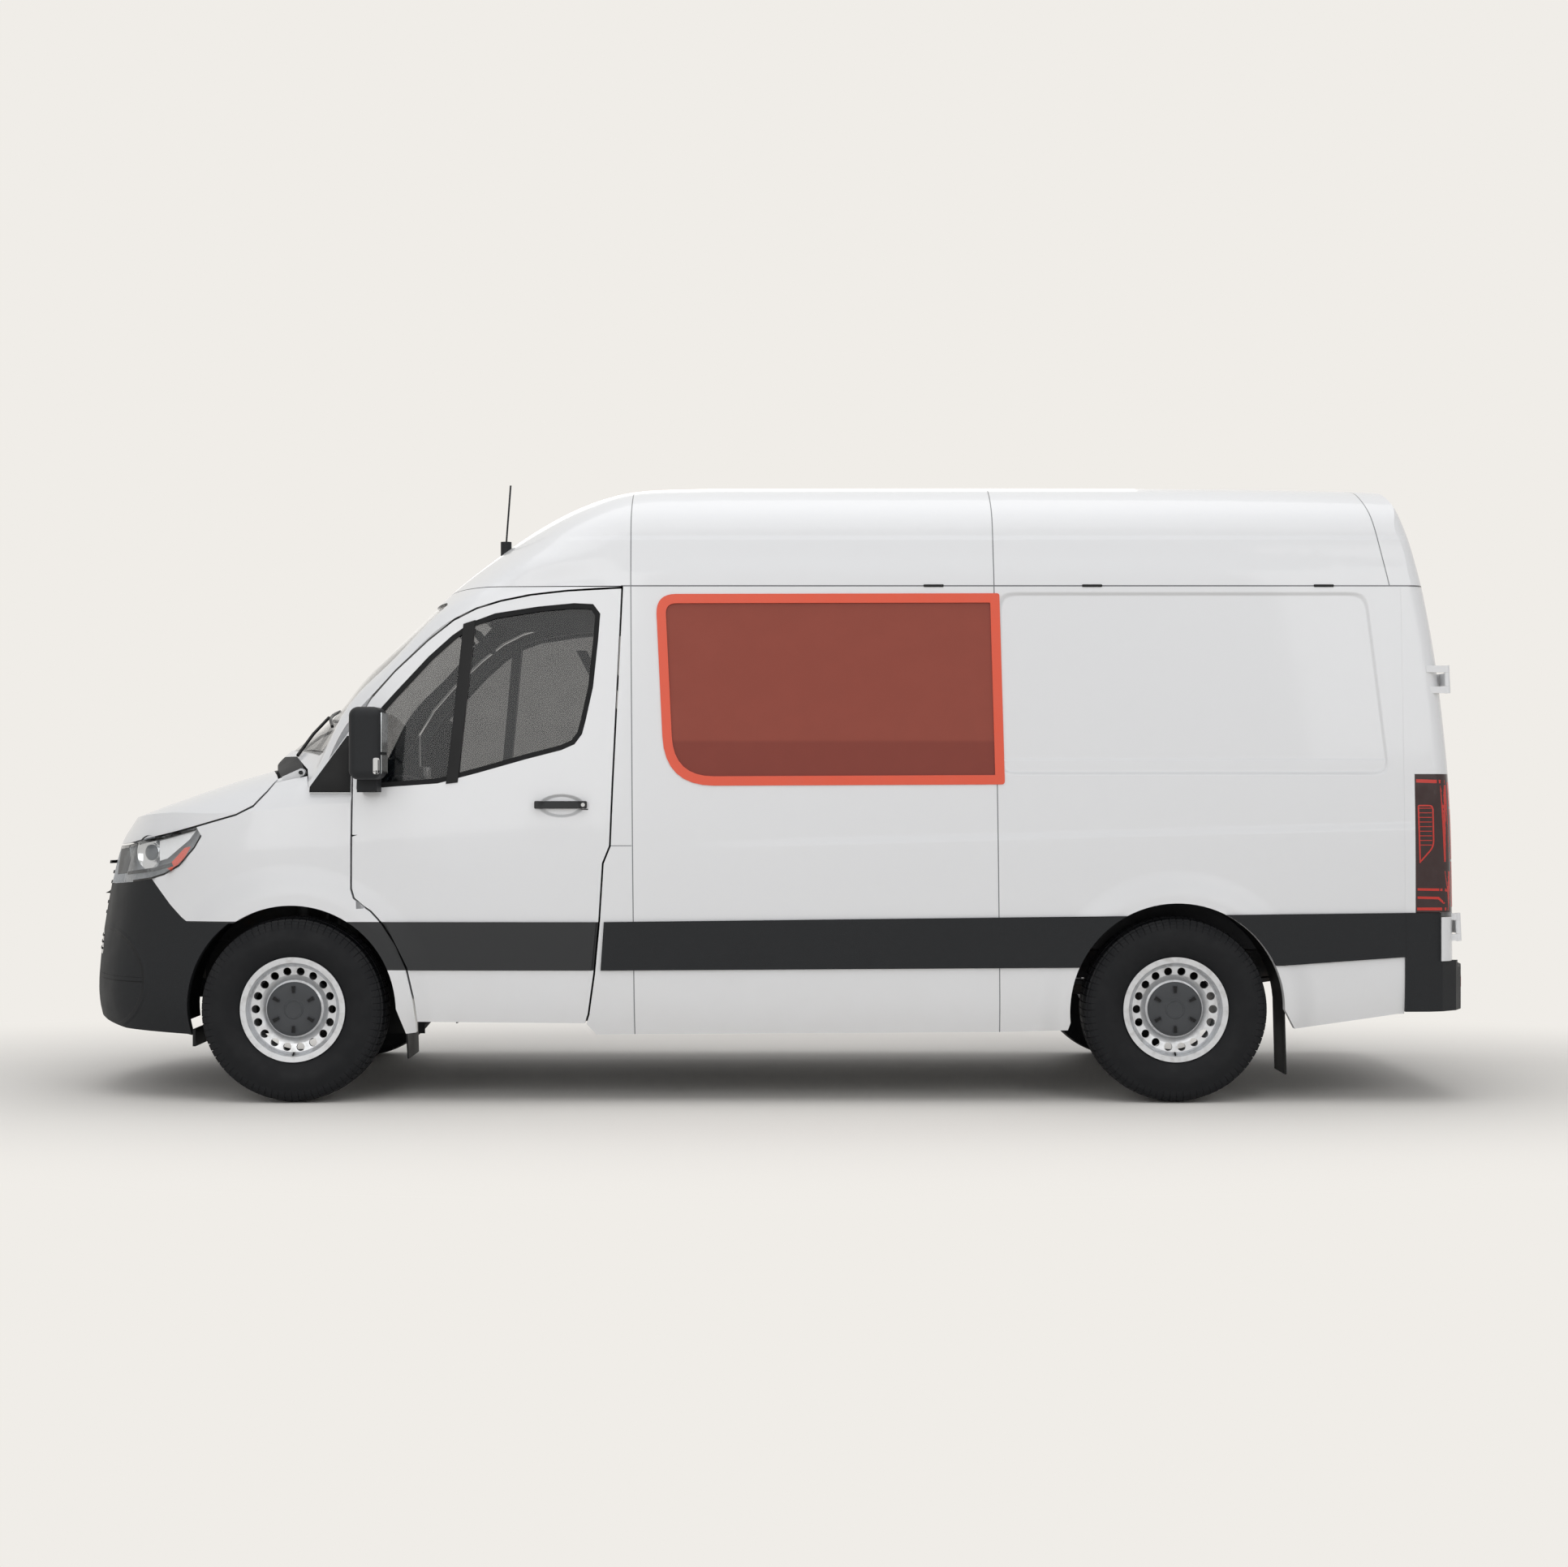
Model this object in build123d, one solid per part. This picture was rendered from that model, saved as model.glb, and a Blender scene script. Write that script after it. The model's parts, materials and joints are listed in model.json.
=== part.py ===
"""High-roof panel van converted to a camper: separate solids, millimetres, +Z up.
Forward is -X, the driver's side is -Y and the ground is z = 0."""
from build123d import *
from math import cos, hypot, pi, radians, sin, sqrt
import os

os.makedirs("parts", exist_ok=True)

# Overall sizes
WHEELBASE = 3665.0
FRONT_AXLE_X = -1962.0
TRACK = 1706.0
HALF_WIDTH = 1000.0
FAR_Y = HALF_WIDTH + 200.0
ROOF_Z = 2636.0
GUTTER_Z = 2146.0
FRONT_TIP_X = -2964.0
REAR_FACE_X = 2903.0
REAR_BUMPER_X = 2966.0
BUMPER_DEPTH = 45.0

# Wheels
TYRE_R = 385.0
TYRE_WIDTH = 245.0
RIM_R = 203.0
WHEEL_Z = 385.0
FLANGE_Y = 89.0
HUB_BORE_R = 34.0
RUNNING = 0.4
VENT_COUNT = 18
STEER_OFFSET = 165.0

# Panels and gaps
WALL = 45.0
GLASS = 6.0
GLASS_DEPTH = 8.0
SHUT = 8.0
SEAT = 0.3
FRONT_ARCH_R = 434.0
REAR_ARCH_R = 444.0
LINER_R = 466.0
LINER_THICK = 5.0
SEAM_B_X = -552.0
SLIDE_REAR_X = 958.0
SEAM_D_X = 2640.0
STRIP_TOP_Z = 752.0
STRIP_BOTTOM_Z = 552.0
STRIP_PROUD = 10.0
FLOOR_Z = 620.0
FLOOR_THICK = 40.0
REAR_DOOR_BOTTOM_Z = 600.0
REAR_DOOR_TOP_Z = 2452.0
CORNER_POST = 105.0
DOOR_PIVOT_X = -1676.0
DOOR_PIVOT_Y = 975.0
DOOR_PIN_R = 4.0
DOOR_HINGE_Z = (905.0, 1090.0)
BONNET_PIVOT_X = -1950.0
BONNET_PIVOT_Z = 1370.0
BONNET_PIN_R = 8.0
COWL_DEPTH = 70.0
BUMPER_STEP_X = 2792.0
BUMPER_CORNER_Z = 590.0
REAR_HINGE_Y = 945.0
LAMP_TOP_Z = 1363.0
LAMP_BOTTOM_Z = 792.0

# Under the floor
RAIL_Y = 430.0
RAIL_WIDTH = 80.0
RAIL_TOP_Z = 600.0
RAIL_HEIGHT = 120.0
TOW_SOCKET_R = 11.0
TOW_SOCKET_LENGTH = 60.0
TOW_Y = -380.0
TOW_Z = 480.0
HITCH_X = 2768.0
HITCH_Z = 338.0
HITCH_SPACING_Y = 180.0
HITCH_SPACING_Z = 44.0
HITCH_HOLE_R = 6.5

REAR_AXLE_X = FRONT_AXLE_X + WHEELBASE
WHEEL_Y = TRACK / 2
KINGPIN_Y = WHEEL_Y - STEER_OFFSET
STUB_R = HUB_BORE_R - RUNNING


def level(table, at):
    """Smooth reading of (key, value) pairs, held level past both ends."""
    keys = [k for k, _ in table]
    vals = [v for _, v in table]
    if at <= keys[0]:
        return vals[0]
    if at >= keys[-1]:
        return vals[-1]
    slopes = []
    for i in range(len(keys)):
        lo = max(i - 1, 0)
        hi = min(i + 1, len(keys) - 1)
        slopes.append((vals[hi] - vals[lo]) / (keys[hi] - keys[lo]))
    i = 0
    while at > keys[i + 1]:
        i += 1
    h = keys[i + 1] - keys[i]
    t = (at - keys[i]) / h
    start = (2 * t**3 - 3 * t**2 + 1) * vals[i] + (t**3 - 2 * t**2 + t) * h * slopes[i]
    end = (3 * t**2 - 2 * t**3) * vals[i + 1] + (t**3 - t**2) * h * slopes[i + 1]
    return start + end


# Distance of the side skin inside the half width, by height
SIDE_INSET = [
    (150.0, 66.0), (290.0, 38.0), (340.0, 20.0), (420.0, 6.0), (540.0, 0.0), (800.0, 0.0),
    (1000.0, 1.0), (1150.0, 5.0), (1324.0, 15.0), (1600.0, 33.0), (1900.0, 54.0), (2146.0, 74.0),
    (2300.0, 86.0),
]
# Narrowing towards the nose, by length: all heights, then the extra above the waist
LOW_TAPER = [
    (-2500.0, 70.0), (-2300.0, 38.0), (-2100.0, 22.0), (-1850.0, 14.0), (-1500.0, 8.0),
    (-1000.0, 2.0), (-600.0, 0.0),
]
HIGH_TAPER = [
    (-2100.0, 60.0), (-1900.0, 46.0), (-1600.0, 28.0), (-1300.0, 14.0), (-900.0, 3.0), (-600.0, 0.0),
]
# Centre line of windscreen and roof, by length
CROWN = [
    (-2200.0, 1365.0), (-2100.0, 1470.0), (-2000.0, 1577.0), (-1850.0, 1736.0), (-1640.0, 1945.0),
    (-1419.0, 2150.0), (-1270.0, 2279.0), (-1124.0, 2388.0), (-977.0, 2482.0), (-829.0, 2553.0),
    (-682.0, 2600.0), (-535.0, 2624.0), (-300.0, 2634.0), (0.0, ROOF_Z), (1500.0, ROOF_Z),
    (2300.0, 2628.0), (3000.0, 2606.0),
]
# Line where the side turns into windscreen and roof, by length
PILLAR = [
    (-2200.0, 1020.0), (-2000.0, 1195.0), (-1895.0, 1310.0), (-1736.0, 1530.0), (-1638.0, 1688.0),
    (-1540.0, 1798.0), (-1401.0, 1928.0), (-1296.0, 2010.0), (-FAR_Y, 2058.0), (-1100.0, 2088.0),
    (-975.0, 2113.0), (-823.0, 2130.0), (-600.0, 2142.0), (-450.0, GUTTER_Z), (3000.0, GUTTER_Z),
]
# Front end, centre line by height
NOSE = [
    (150.0, -2915.0), (285.0, -2944.0), (400.0, FRONT_TIP_X), (520.0, -2961.0), (650.0, -2947.0),
    (750.0, -2932.0), (850.0, -2914.0), (950.0, -2893.0), (1050.0, -2864.0), (1100.0, -2842.0),
    (1150.0, -2808.0), (1200.0, -2778.0), (1300.0, -2758.0), (1500.0, -2745.0),
]
# Front end in plan: share of the half width, by distance behind the tip
NOSE_PLAN = [
    (0.0, 0.0), (2.0, 0.1), (9.0, 0.2), (21.0, 0.3), (64.0, 0.5), (98.0, 0.6), (140.0, 0.7),
    (200.0, 0.8), (242.0, 0.85), (302.0, 0.9), (390.0, 0.945), (520.0, 0.975), (700.0, 0.992),
    (900.0, 1.0), (1564.0, 1.0),
]
BONNET = [
    (-3000.0, 1080.0), (-2900.0, 1122.0), (-2800.0, 1162.0), (-2700.0, 1204.0), (-2600.0, 1243.0),
    (-2500.0, 1279.0), (-2400.0, 1314.0), (-2300.0, 1346.0), (-2200.0, 1376.0), (-2100.0, 1403.0),
    (-2000.0, 1426.0), (-1850.0, 1452.0), (-1650.0, 1470.0),
]
BONNET_SAG = [
    (0.0, 0.0), (300.0, 6.0), (500.0, 18.0), (700.0, 42.0), (800.0, 66.0), (860.0, 92.0),
    (910.0, 132.0), (950.0, 184.0), (985.0, 250.0), (1020.0, 330.0),
]
# Rear end, centre line by height
REAR = [
    (150.0, 2905.0), (560.0, 2905.0), (900.0, REAR_FACE_X), (1360.0, 2891.0), (1790.0, 2852.0),
    (2050.0, 2814.0), (2250.0, 2774.0), (2400.0, 2736.0), (2500.0, 2700.0), (2560.0, 2664.0),
    (2610.0, 2612.0), (2660.0, 2540.0),
]
REAR_HALF_WIDTH = [
    (2146.0, 926.0), (2304.0, 896.0), (2442.0, 853.0), (2530.0, 800.0), (2660.0, 720.0),
]


def half_width(x, z):
    upper = min(max((z - 1050.0) / 850.0, 0.0), 1.0)
    taper = level(LOW_TAPER, x) + upper * level(HIGH_TAPER, x)
    return HALF_WIDTH - level(SIDE_INSET, z) - taper


def spaced(points, count):
    """The same line in even steps."""
    run = [0.0]
    for a, b in zip(points, points[1:]):
        run.append(run[-1] + hypot(b[0] - a[0], b[1] - a[1]))
    first = [(s, p[0]) for s, p in zip(run, points)]
    second = [(s, p[1]) for s, p in zip(run, points)]
    steps = [run[-1] * i / (count - 1) for i in range(count)]
    return [(level(first, s), level(second, s)) for s in steps]


def skin(rows):
    return Face.make_surface_from_array_of_points(rows, tol=0.3, min_deg=3, max_deg=3)


def steps(start, stop, count):
    return [start + (stop - start) * i / (count - 1) for i in range(count)]


def prism(points, start, stop, axis):
    """Outline carried along one axis; points are (x, z) along y, (y, z) along x, (x, y) along z."""
    if axis == "y":
        wire = Wire.make_polygon([Vector(a, start, b) for a, b in points], close=True)
        return Solid.extrude(Face(wire), Vector(0, stop - start, 0))
    if axis == "x":
        wire = Wire.make_polygon([Vector(start, a, b) for a, b in points], close=True)
        return Solid.extrude(Face(wire), Vector(stop - start, 0, 0))
    wire = Wire.make_polygon([Vector(a, b, start) for a, b in points], close=True)
    return Solid.extrude(Face(wire), Vector(0, 0, stop - start))


def block(x0, x1, y0, y1, z0, z1):
    return Solid.make_box(x1 - x0, y1 - y0, z1 - z0, Plane((x0, y0, z0)))


def rod(start, end, radius):
    a = Vector(*start)
    b = Vector(*end)
    return Solid.make_cylinder(radius, (b - a).length, Plane(origin=a, z_dir=(b - a).normalized()))


def drum(x, y0, y1, z, radius):
    return rod((x, y0, z), (x, y1, z), radius)


def other_side(solid):
    return solid.mirror(Plane.XZ)


def grown(points, margin):
    """Closed outline moved outwards by a margin, corner by corner."""
    area = 0.0
    for (x0, z0), (x1, z1) in zip(points, points[1:] + points[:1]):
        area += x0 * z1 - x1 * z0
    turn = 1.0 if area > 0 else -1.0
    moved = []
    count = len(points)
    for i, (x, z) in enumerate(points):
        ax, az = x - points[i - 1][0], z - points[i - 1][1]
        bx, bz = points[(i + 1) % count][0] - x, points[(i + 1) % count][1] - z
        la, lb = hypot(ax, az), hypot(bx, bz)
        nx = turn * (az / la + bz / lb)
        nz = -turn * (ax / la + bx / lb)
        size = nx * nx + nz * nz
        moved.append((x + 2 * margin * nx / size, z + 2 * margin * nz / size))
    return moved


def rounded(points, radius, count=5):
    """Closed outline with every corner turned into a short arc; a list gives each corner its own radius."""
    result = []
    total = len(points)
    for i, p in enumerate(points):
        before = points[i - 1]
        after = points[(i + 1) % total]
        la = hypot(before[0] - p[0], before[1] - p[1])
        lb = hypot(after[0] - p[0], after[1] - p[1])
        wanted = radius[i] if isinstance(radius, list) else radius
        r = min(wanted, la * 0.45, lb * 0.45)
        a = (p[0] + (before[0] - p[0]) * r / la, p[1] + (before[1] - p[1]) * r / la)
        b = (p[0] + (after[0] - p[0]) * r / lb, p[1] + (after[1] - p[1]) * r / lb)
        for k in range(count + 1):
            t = k / count
            u = (1 - t) ** 2
            v = 2 * t * (1 - t)
            w = t * t
            result.append((u * a[0] + v * p[0] + w * b[0], u * a[1] + v * p[1] + w * b[1]))
    return result


def node(name, *solids):
    flat = []
    for item in solids:
        flat.extend(item.solids())
    result = flat[0] if len(flat) == 1 else Compound(flat)
    export_step(result, "parts/" + name + ".step")
    print(name, len(flat), round(sum(s.volume for s in flat) / 1e6, 2), all(s.is_valid for s in flat),
        flush=True)
    return result


def biggest(shape, count=1):
    return sorted(shape.solids(), key=lambda s: -s.volume)[:count]


# Skins -----------------------------------------------------------------------
def side_slab(depth, thickness, x0=-1960.0, x1=2700.0):
    """Left side wall: its outer skin lies depth inside the body's surface."""
    rows = []
    for x in steps(x0, x1, 27):
        rows.append([Vector(x, -(half_width(x, z) - depth), z) for z in steps(170.0, 2180.0, 25)])
    return Solid.extrude(skin(rows), Vector(0, thickness, 0))


def roof_outline(x):
    """Half outline (y, z) over the roof or windscreen at one length, eaves to centre."""
    pillar = level(PILLAR, x)
    crown = level(CROWN, x)
    rise = crown - pillar
    edge = half_width(x, pillar)
    share = min(max((x + 1350.0) / 800.0, 0.0), 1.0)
    share = share * share * (3 - 2 * share)
    screen = [(edge - 20.0, 0.13), (edge - 78.0, 0.29), (650.0, 0.57), (400.0, 0.83), (180.0, 0.965)]
    hood = [(edge - 30.0, 0.32), (edge - 73.0, 0.60), (700.0, 0.835), (450.0, 0.94), (200.0, 0.988)]
    points = [(edge, pillar)]
    for (ya, fa), (yb, fb) in zip(screen, hood):
        points.append((ya + (yb - ya) * share, pillar + (fa + (fb - fa) * share) * rise))
    points.append((0.0, crown))
    return points


def roof_skin(depth, x0, x1):
    """Left half of the roof and windscreen skin, carried a little past the centre."""
    rows = []
    for x in steps(x0, x1, 30):
        half = spaced(roof_outline(x), 13)
        line = [(-y, z) for y, z in half] + half[-2:-5:-1]
        rows.append([Vector(x, y + depth, z - depth) for y, z in line])
    return skin(rows)


def roof_slab(depth, thickness, x0=-2170.0, x1=2980.0):
    slab = Solid.extrude(roof_skin(depth, x0, x1), Vector(0, thickness, -thickness))
    return slab & block(-3000.0, 3100.0, -FAR_Y, 0.0, 500.0, 2800.0)


def roof_cover(depth, x0=-2170.0, x1=2980.0):
    """Left half of everything below the roof and windscreen."""
    return Solid.extrude(roof_skin(depth, x0, x1), Vector(0, 1100.0, -1100.0))


def nose_cover(inset, reach):
    """Left half of the front end, from its plan-curved skin inwards."""
    rows = []
    for z in steps(170.0, 1500.0, 20):
        tip = level(NOSE, z)
        stretch = (-1400.0 - tip) / (-1400.0 - FRONT_TIP_X)
        line = []
        for back, share in NOSE_PLAN:
            x = tip + back * stretch
            line.append((x, -share * half_width(x, z)))
        even = spaced(line, 31)
        moved = []
        for i, (x, y) in enumerate(even):
            xa, ya = even[max(i - 1, 0)]
            xb, yb = even[min(i + 1, len(even) - 1)]
            size = hypot(xb - xa, yb - ya)
            nx, ny = -(yb - ya) / size, (xb - xa) / size
            if i == 0:
                nx, ny = 1.0, 0.0
            moved.append(Vector(x + inset * nx, y + inset * ny, z))
        rows.append(moved)
    return Solid.extrude(skin(rows), Vector(reach, reach, 0))


def bonnet_cover(inset):
    """Everything below the bonnet's crowned skin."""
    rows = []
    for x in steps(-3000.0, -1650.0, 14):
        row = []
        for y in steps(-HALF_WIDTH - 15.0, HALF_WIDTH + 15.0, 31):
            row.append(Vector(x, y, level(BONNET, x) - level(BONNET_SAG, abs(y)) - inset))
        rows.append(row)
    return Solid.extrude(skin(rows), Vector(0, 0, -1300.0))


def rear_cover(widen, thickness, outwards=False):
    """Left half of the rear end, from its plan-curved skin inwards or outwards."""
    rows = []
    for z in steps(170.0, 2650.0, 36):
        back = level(REAR, z)
        w = level(REAR_HALF_WIDTH, z) if z > GUTTER_Z else half_width(2800.0, z)
        w = w + widen
        line = [
            (back, 0.0), (back - 4.0, -0.3 * w), (back - 14.0, -0.56 * w), (back - 27.0, -0.74 * w),
            (back - 41.0, -(w - 112.0)), (back - 50.0, -(w - 74.0)), (back - 66.0, -(w - 36.0)),
            (back - 90.0, -(w - 12.0)), (back - 124.0, -(w - 1.0)), (back - 170.0, -w), (2520.0, -w),
        ]
        rows.append([Vector(x, y, z) for x, y in spaced(line, 40)])
    sign = -1.0 if outwards else 1.0
    return Solid.extrude(skin(rows), Vector(-thickness * sign, thickness * sign, 0))


# Side-view outlines (x, z) ------------------------------------------------------
DOOR_LOWER_FRONT = [
    (-1708.0, 1284.0), (-1708.0, 890.0), (-1697.0, 852.0), (-1660.0, 820.0), (-1627.0, 798.0),
    (-1578.0, 744.0), (-1520.0, 655.0), (-1479.0, 560.0), (-1452.0, 440.0), (-1440.0, 338.0),
]
DOOR_REAR = [
    (-748.0, 332.0), (-735.0, 370.0), (-711.0, 537.0), (-690.0, 759.0), (-675.0, 995.0),
    (-646.0, 1067.0), (-636.0, 1329.0), (-611.0, 1870.0), (-600.0, 2134.0),
]
DOOR_TOP_X = [-620.0, -823.0, -975.0, -1100.0, -1200.0, -1296.0, -1401.0, -1540.0, -1638.0, -1708.0]


def door_top(x):
    """Height of the door's top edge, one shut line under the pillar."""
    slope = (level(PILLAR, x + 5.0) - level(PILLAR, x - 5.0)) / 10.0
    return level(PILLAR, x) - SHUT * sqrt(1.0 + slope * slope)


DOOR_OUTLINE = DOOR_LOWER_FRONT + DOOR_REAR + [(x, door_top(x)) for x in DOOR_TOP_X]
DOOR_WINDOW = [
    (-1694.0, 1300.0), (-1357.0, 1324.0), (-1189.0, 1368.0), (-992.0, 1424.0), (-844.0, 1462.0),
    (-790.0, 1486.0), (-759.0, 1528.0), (-744.0, 1586.0), (-714.0, 1725.0), (-694.0, 1923.0),
    (-686.0, 2030.0), (-716.0, 2070.0), (-796.0, 2074.0), (-945.0, 2060.0), (-1124.0, 2032.0),
    (-1222.0, 1996.0), (-1303.0, 1940.0), (-1401.0, 1852.0), (-1540.0, 1702.0), (-1601.0, 1634.0),
    (-1690.0, 1500.0),
]
WINDOW_CORNERS = [(-457.0, 2112.0), (972.0, 2115.0), (990.0, 1320.0), (-416.0, 1314.0)]
WINDOW_RADII = [85.0, 12.0, 15.0, 205.0]
WINDOW_FRAME = 39.0
SIDE_WINDOW = rounded(WINDOW_CORNERS, WINDOW_RADII, 8)
LAMP_LOWER = [
    (-3010.0, 890.0), (-2800.0, 896.0), (-2663.0, 910.0), (-2568.0, 925.0), (-2510.0, 942.0),
    (-2442.0, 979.0), (-2374.0, 1054.0), (-2345.0, 1104.0),
]
BONNET_EDGE = [
    (-3010.0, 1040.0), (-2850.0, 1052.0), (-2704.0, 1068.0), (-2480.0, 1117.0), (-2369.0, 1146.0),
    (-2198.0, 1194.0), (-2130.0, 1230.0), (-2079.0, 1292.0), (-2028.0, 1377.0), (-2000.0, 1420.0),
]
BUMPER_TOP = [
    (-3010.0, 890.0), (-2800.0, 896.0), (-2663.0, 910.0), (-2568.0, 925.0), (-2480.0, 818.0),
    (-2430.0, 768.0), (-2403.0, 747.0), (-2150.0, 744.0),
]
BUMPER_FLOOR = [(-2340.0, 262.0), (-2413.0, 278.0), (-2700.0, 292.0), (-2900.0, 325.0), (-3010.0, 345.0)]


def raised(points, rise):
    return [(x, z + rise) for x, z in points]


# Front end ----------------------------------------------------------------------
nose_outer = nose_cover(0.0, 1250.0)
nose_inner = nose_cover(WALL, 1250.0)
left_half = block(-3100.0, -1400.0, -FAR_Y, 0.0, 100.0, 1600.0)
nose_shell = (nose_outer & bonnet_cover(0.0)) - (nose_inner & bonnet_cover(WALL))
# The bonnet's skin ends ahead of the door, so the side below it is added
nose_side = (nose_outer - nose_inner) & block(-1655.0, -1400.0, -FAR_Y, 0.0, 170.0, 900.0)
nose_shell = (nose_shell & left_half) + nose_side
front_arch = drum(FRONT_AXLE_X, -1100.0, -500.0, WHEEL_Z, FRONT_ARCH_R)
front_arch_wide = drum(FRONT_AXLE_X, -1100.0, -500.0, WHEEL_Z, FRONT_ARCH_R + 12.0)

bonnet_zone = prism(raised(BONNET_EDGE, SHUT / 2) + [(-1900.0, 1460.0), (-1900.0, 1600.0), (-3010.0,
    1600.0)],
                    -FAR_Y, 0.0, "y")
BONNET_REAR = [
    (-2173.0, 10.0), (-2165.0, -250.0), (-2136.0, -480.0), (-2088.0, -680.0), (-2040.0, -850.0), (-2034.0,
    -FAR_Y),
]
bonnet_plan = prism(BONNET_REAR + [(-3100.0, -FAR_Y), (-3100.0, 10.0)], 900.0, 1700.0, "z")
bonnet_half = nose_shell & bonnet_zone & bonnet_plan
LUG_Y = (-830.0, -794.0)
lug = prism([(-2085.0, 1330.0), (-2085.0, 1290.0), (-1950.0, 1352.0), (-1950.0, 1388.0), (-2030.0,
    1352.0)], LUG_Y[0], LUG_Y[1], "y")
lug = lug + rod((BONNET_PIVOT_X, LUG_Y[0], BONNET_PIVOT_Z), (BONNET_PIVOT_X, LUG_Y[1], BONNET_PIVOT_Z),
    BONNET_PIN_R + 8.0)
lug = lug - rod((BONNET_PIVOT_X, LUG_Y[0] - 5.0, BONNET_PIVOT_Z), (BONNET_PIVOT_X, LUG_Y[1] + 5.0,
    BONNET_PIVOT_Z), BONNET_PIN_R + SEAT)
lug = biggest(lug & (bonnet_cover(5.0) + block(-2030.0, -1900.0, -900.0, -700.0, 1200.0, 1500.0)))[0]
bonnet_half = biggest(bonnet_half + lug)[0]

GRILLE = [(0.0, 1042.0), (-400.0, 1042.0), (-392.0, 900.0), (-340.0, 735.0), (0.0, 722.0)]
lamp_inner = [(-400.0 - SEAT, 1300.0), (-400.0 - SEAT, 1042.0), (-392.0 - SEAT, 700.0), (-FAR_Y, 700.0),
    (-FAR_Y, 1300.0)]
lamp_zone = prism(LAMP_LOWER + [(x, z - SHUT / 2) for x, z in reversed(BONNET_EDGE[:5])], -FAR_Y, 0.0, "y")
headlight = biggest(nose_shell & lamp_zone & prism(lamp_inner, -3100.0, -2000.0, "x"))[0]
grille_half = biggest(nose_shell & prism(GRILLE, -3100.0, -2500.0, "x"))[0]

bumper_zone = prism([(x, z - SEAT) for x, z in BUMPER_TOP] + BUMPER_FLOOR, -FAR_Y, 0.0, "y")
bumper_half = nose_shell & bumper_zone
bumper_half = bumper_half - front_arch_wide
bumper_half = bumper_half - prism(grown([(40.0, 1042.0)] + GRILLE[1:] + [(40.0, 722.0)], SEAT), -3100.0,
    -2500.0, "x")
bumper_half = biggest(bumper_half)[0]
front_bumper = bumper_half + other_side(bumper_half)
front_bumper = biggest(front_bumper - rod((-3100.0, TOW_Y, TOW_Z), (-2700.0, TOW_Y, TOW_Z), 34.0))[0]

fender_zone = prism(
    [(-2568.0, 925.0 - SEAT / 2)] + [(x + SEAT, z - SEAT) for x, z in LAMP_LOWER[4:8]]
    + [(x, z - SHUT / 2) for x, z in BONNET_EDGE[4:6]]
    + [(x + 4.0, z - SHUT / 2) for x, z in BONNET_EDGE[6:]]
    + [(-1930.0, 1380.0), (-1893.0, 1284.0 - SEAT), (-1708.0 - SHUT, 1284.0 - SEAT)]
    + [(x - SHUT, z - SHUT * 0.4) for x, z in DOOR_LOWER_FRONT[1:]]
    + [(-1448.0, 292.0), (-1490.0, 286.0), (-1560.0, 480.0), (-2150.0, 480.0)]
    + [(x, z) for x, z in reversed(BUMPER_TOP[4:])],
    -FAR_Y, -760.0, "y")
fender = (nose_shell & fender_zone) - front_arch
fender = fender - block(-2110.0, -1400.0, -850.0, -700.0, 900.0, 1500.0)
behind_bonnet = prism([(x + 9.0, y) for x, y in BONNET_REAR[4:]] + [(-1925.0, -FAR_Y), (-1925.0, -850.0)],
    1000.0, 1700.0, "z")
behind_bonnet = behind_bonnet & prism([(-2300.0, 1150.0), (-1893.0, 1284.0), (-1925.0, 1384.0), (-2020.0,
    1440.0), (-2300.0, 1440.0)], -FAR_Y, -850.0, "y")
fender = biggest(fender + (nose_shell & behind_bonnet))[0]

# Cab and load space ---------------------------------------------------------------
roof_outer = roof_cover(0.0)
top_shell = roof_slab(0.0, WALL)
side_wall = side_slab(0.0, WALL)
rear_wall = rear_cover(0.0, WALL)
rear_outside = rear_cover(4.0, 600.0, outwards=True)

REAR_DOOR = [
    (-SHUT / 2, REAR_DOOR_BOTTOM_Z), (-(half_width(2800.0, 600.0) - CORNER_POST), REAR_DOOR_BOTTOM_Z),
]
for z in (900.0, 1200.0, 1500.0, 1800.0, 2146.0):
    REAR_DOOR.append((-(half_width(2800.0, z) - CORNER_POST), z))
REAR_DOOR = REAR_DOOR + [(-790.0, 2304.0), (-762.0, 2390.0), (-735.0, 2428.0), (-690.0, 2448.0), (-600.0,
    REAR_DOOR_TOP_Z)]
REAR_DOOR = REAR_DOOR + [(-SHUT / 2, REAR_DOOR_TOP_Z)]
rear_opening_half = [(60.0, REAR_DOOR_BOTTOM_Z - 400.0)] + grown(REAR_DOOR, SHUT)[1:-1] + [(60.0,
    REAR_DOOR_TOP_Z + SHUT)]
rear_opening_half[1] = (rear_opening_half[1][0], REAR_DOOR_BOTTOM_Z - 400.0)
rear_opening = prism(rear_opening_half, 2400.0, 3100.0, "x")

roof_zone = prism([(-1520.0, GUTTER_Z + SEAT), (3000.0, GUTTER_Z + SEAT), (3000.0, 2800.0), (-1520.0,
    2800.0)],
                  -FAR_Y, 1200.0, "y")
roof_half = biggest((top_shell & roof_zone) - rear_outside)[0]
header = biggest((rear_wall & roof_zone & roof_outer) - rear_opening)[0]
roof_half = roof_half + header
roof = biggest(roof_half + other_side(roof_half))[0]

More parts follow.
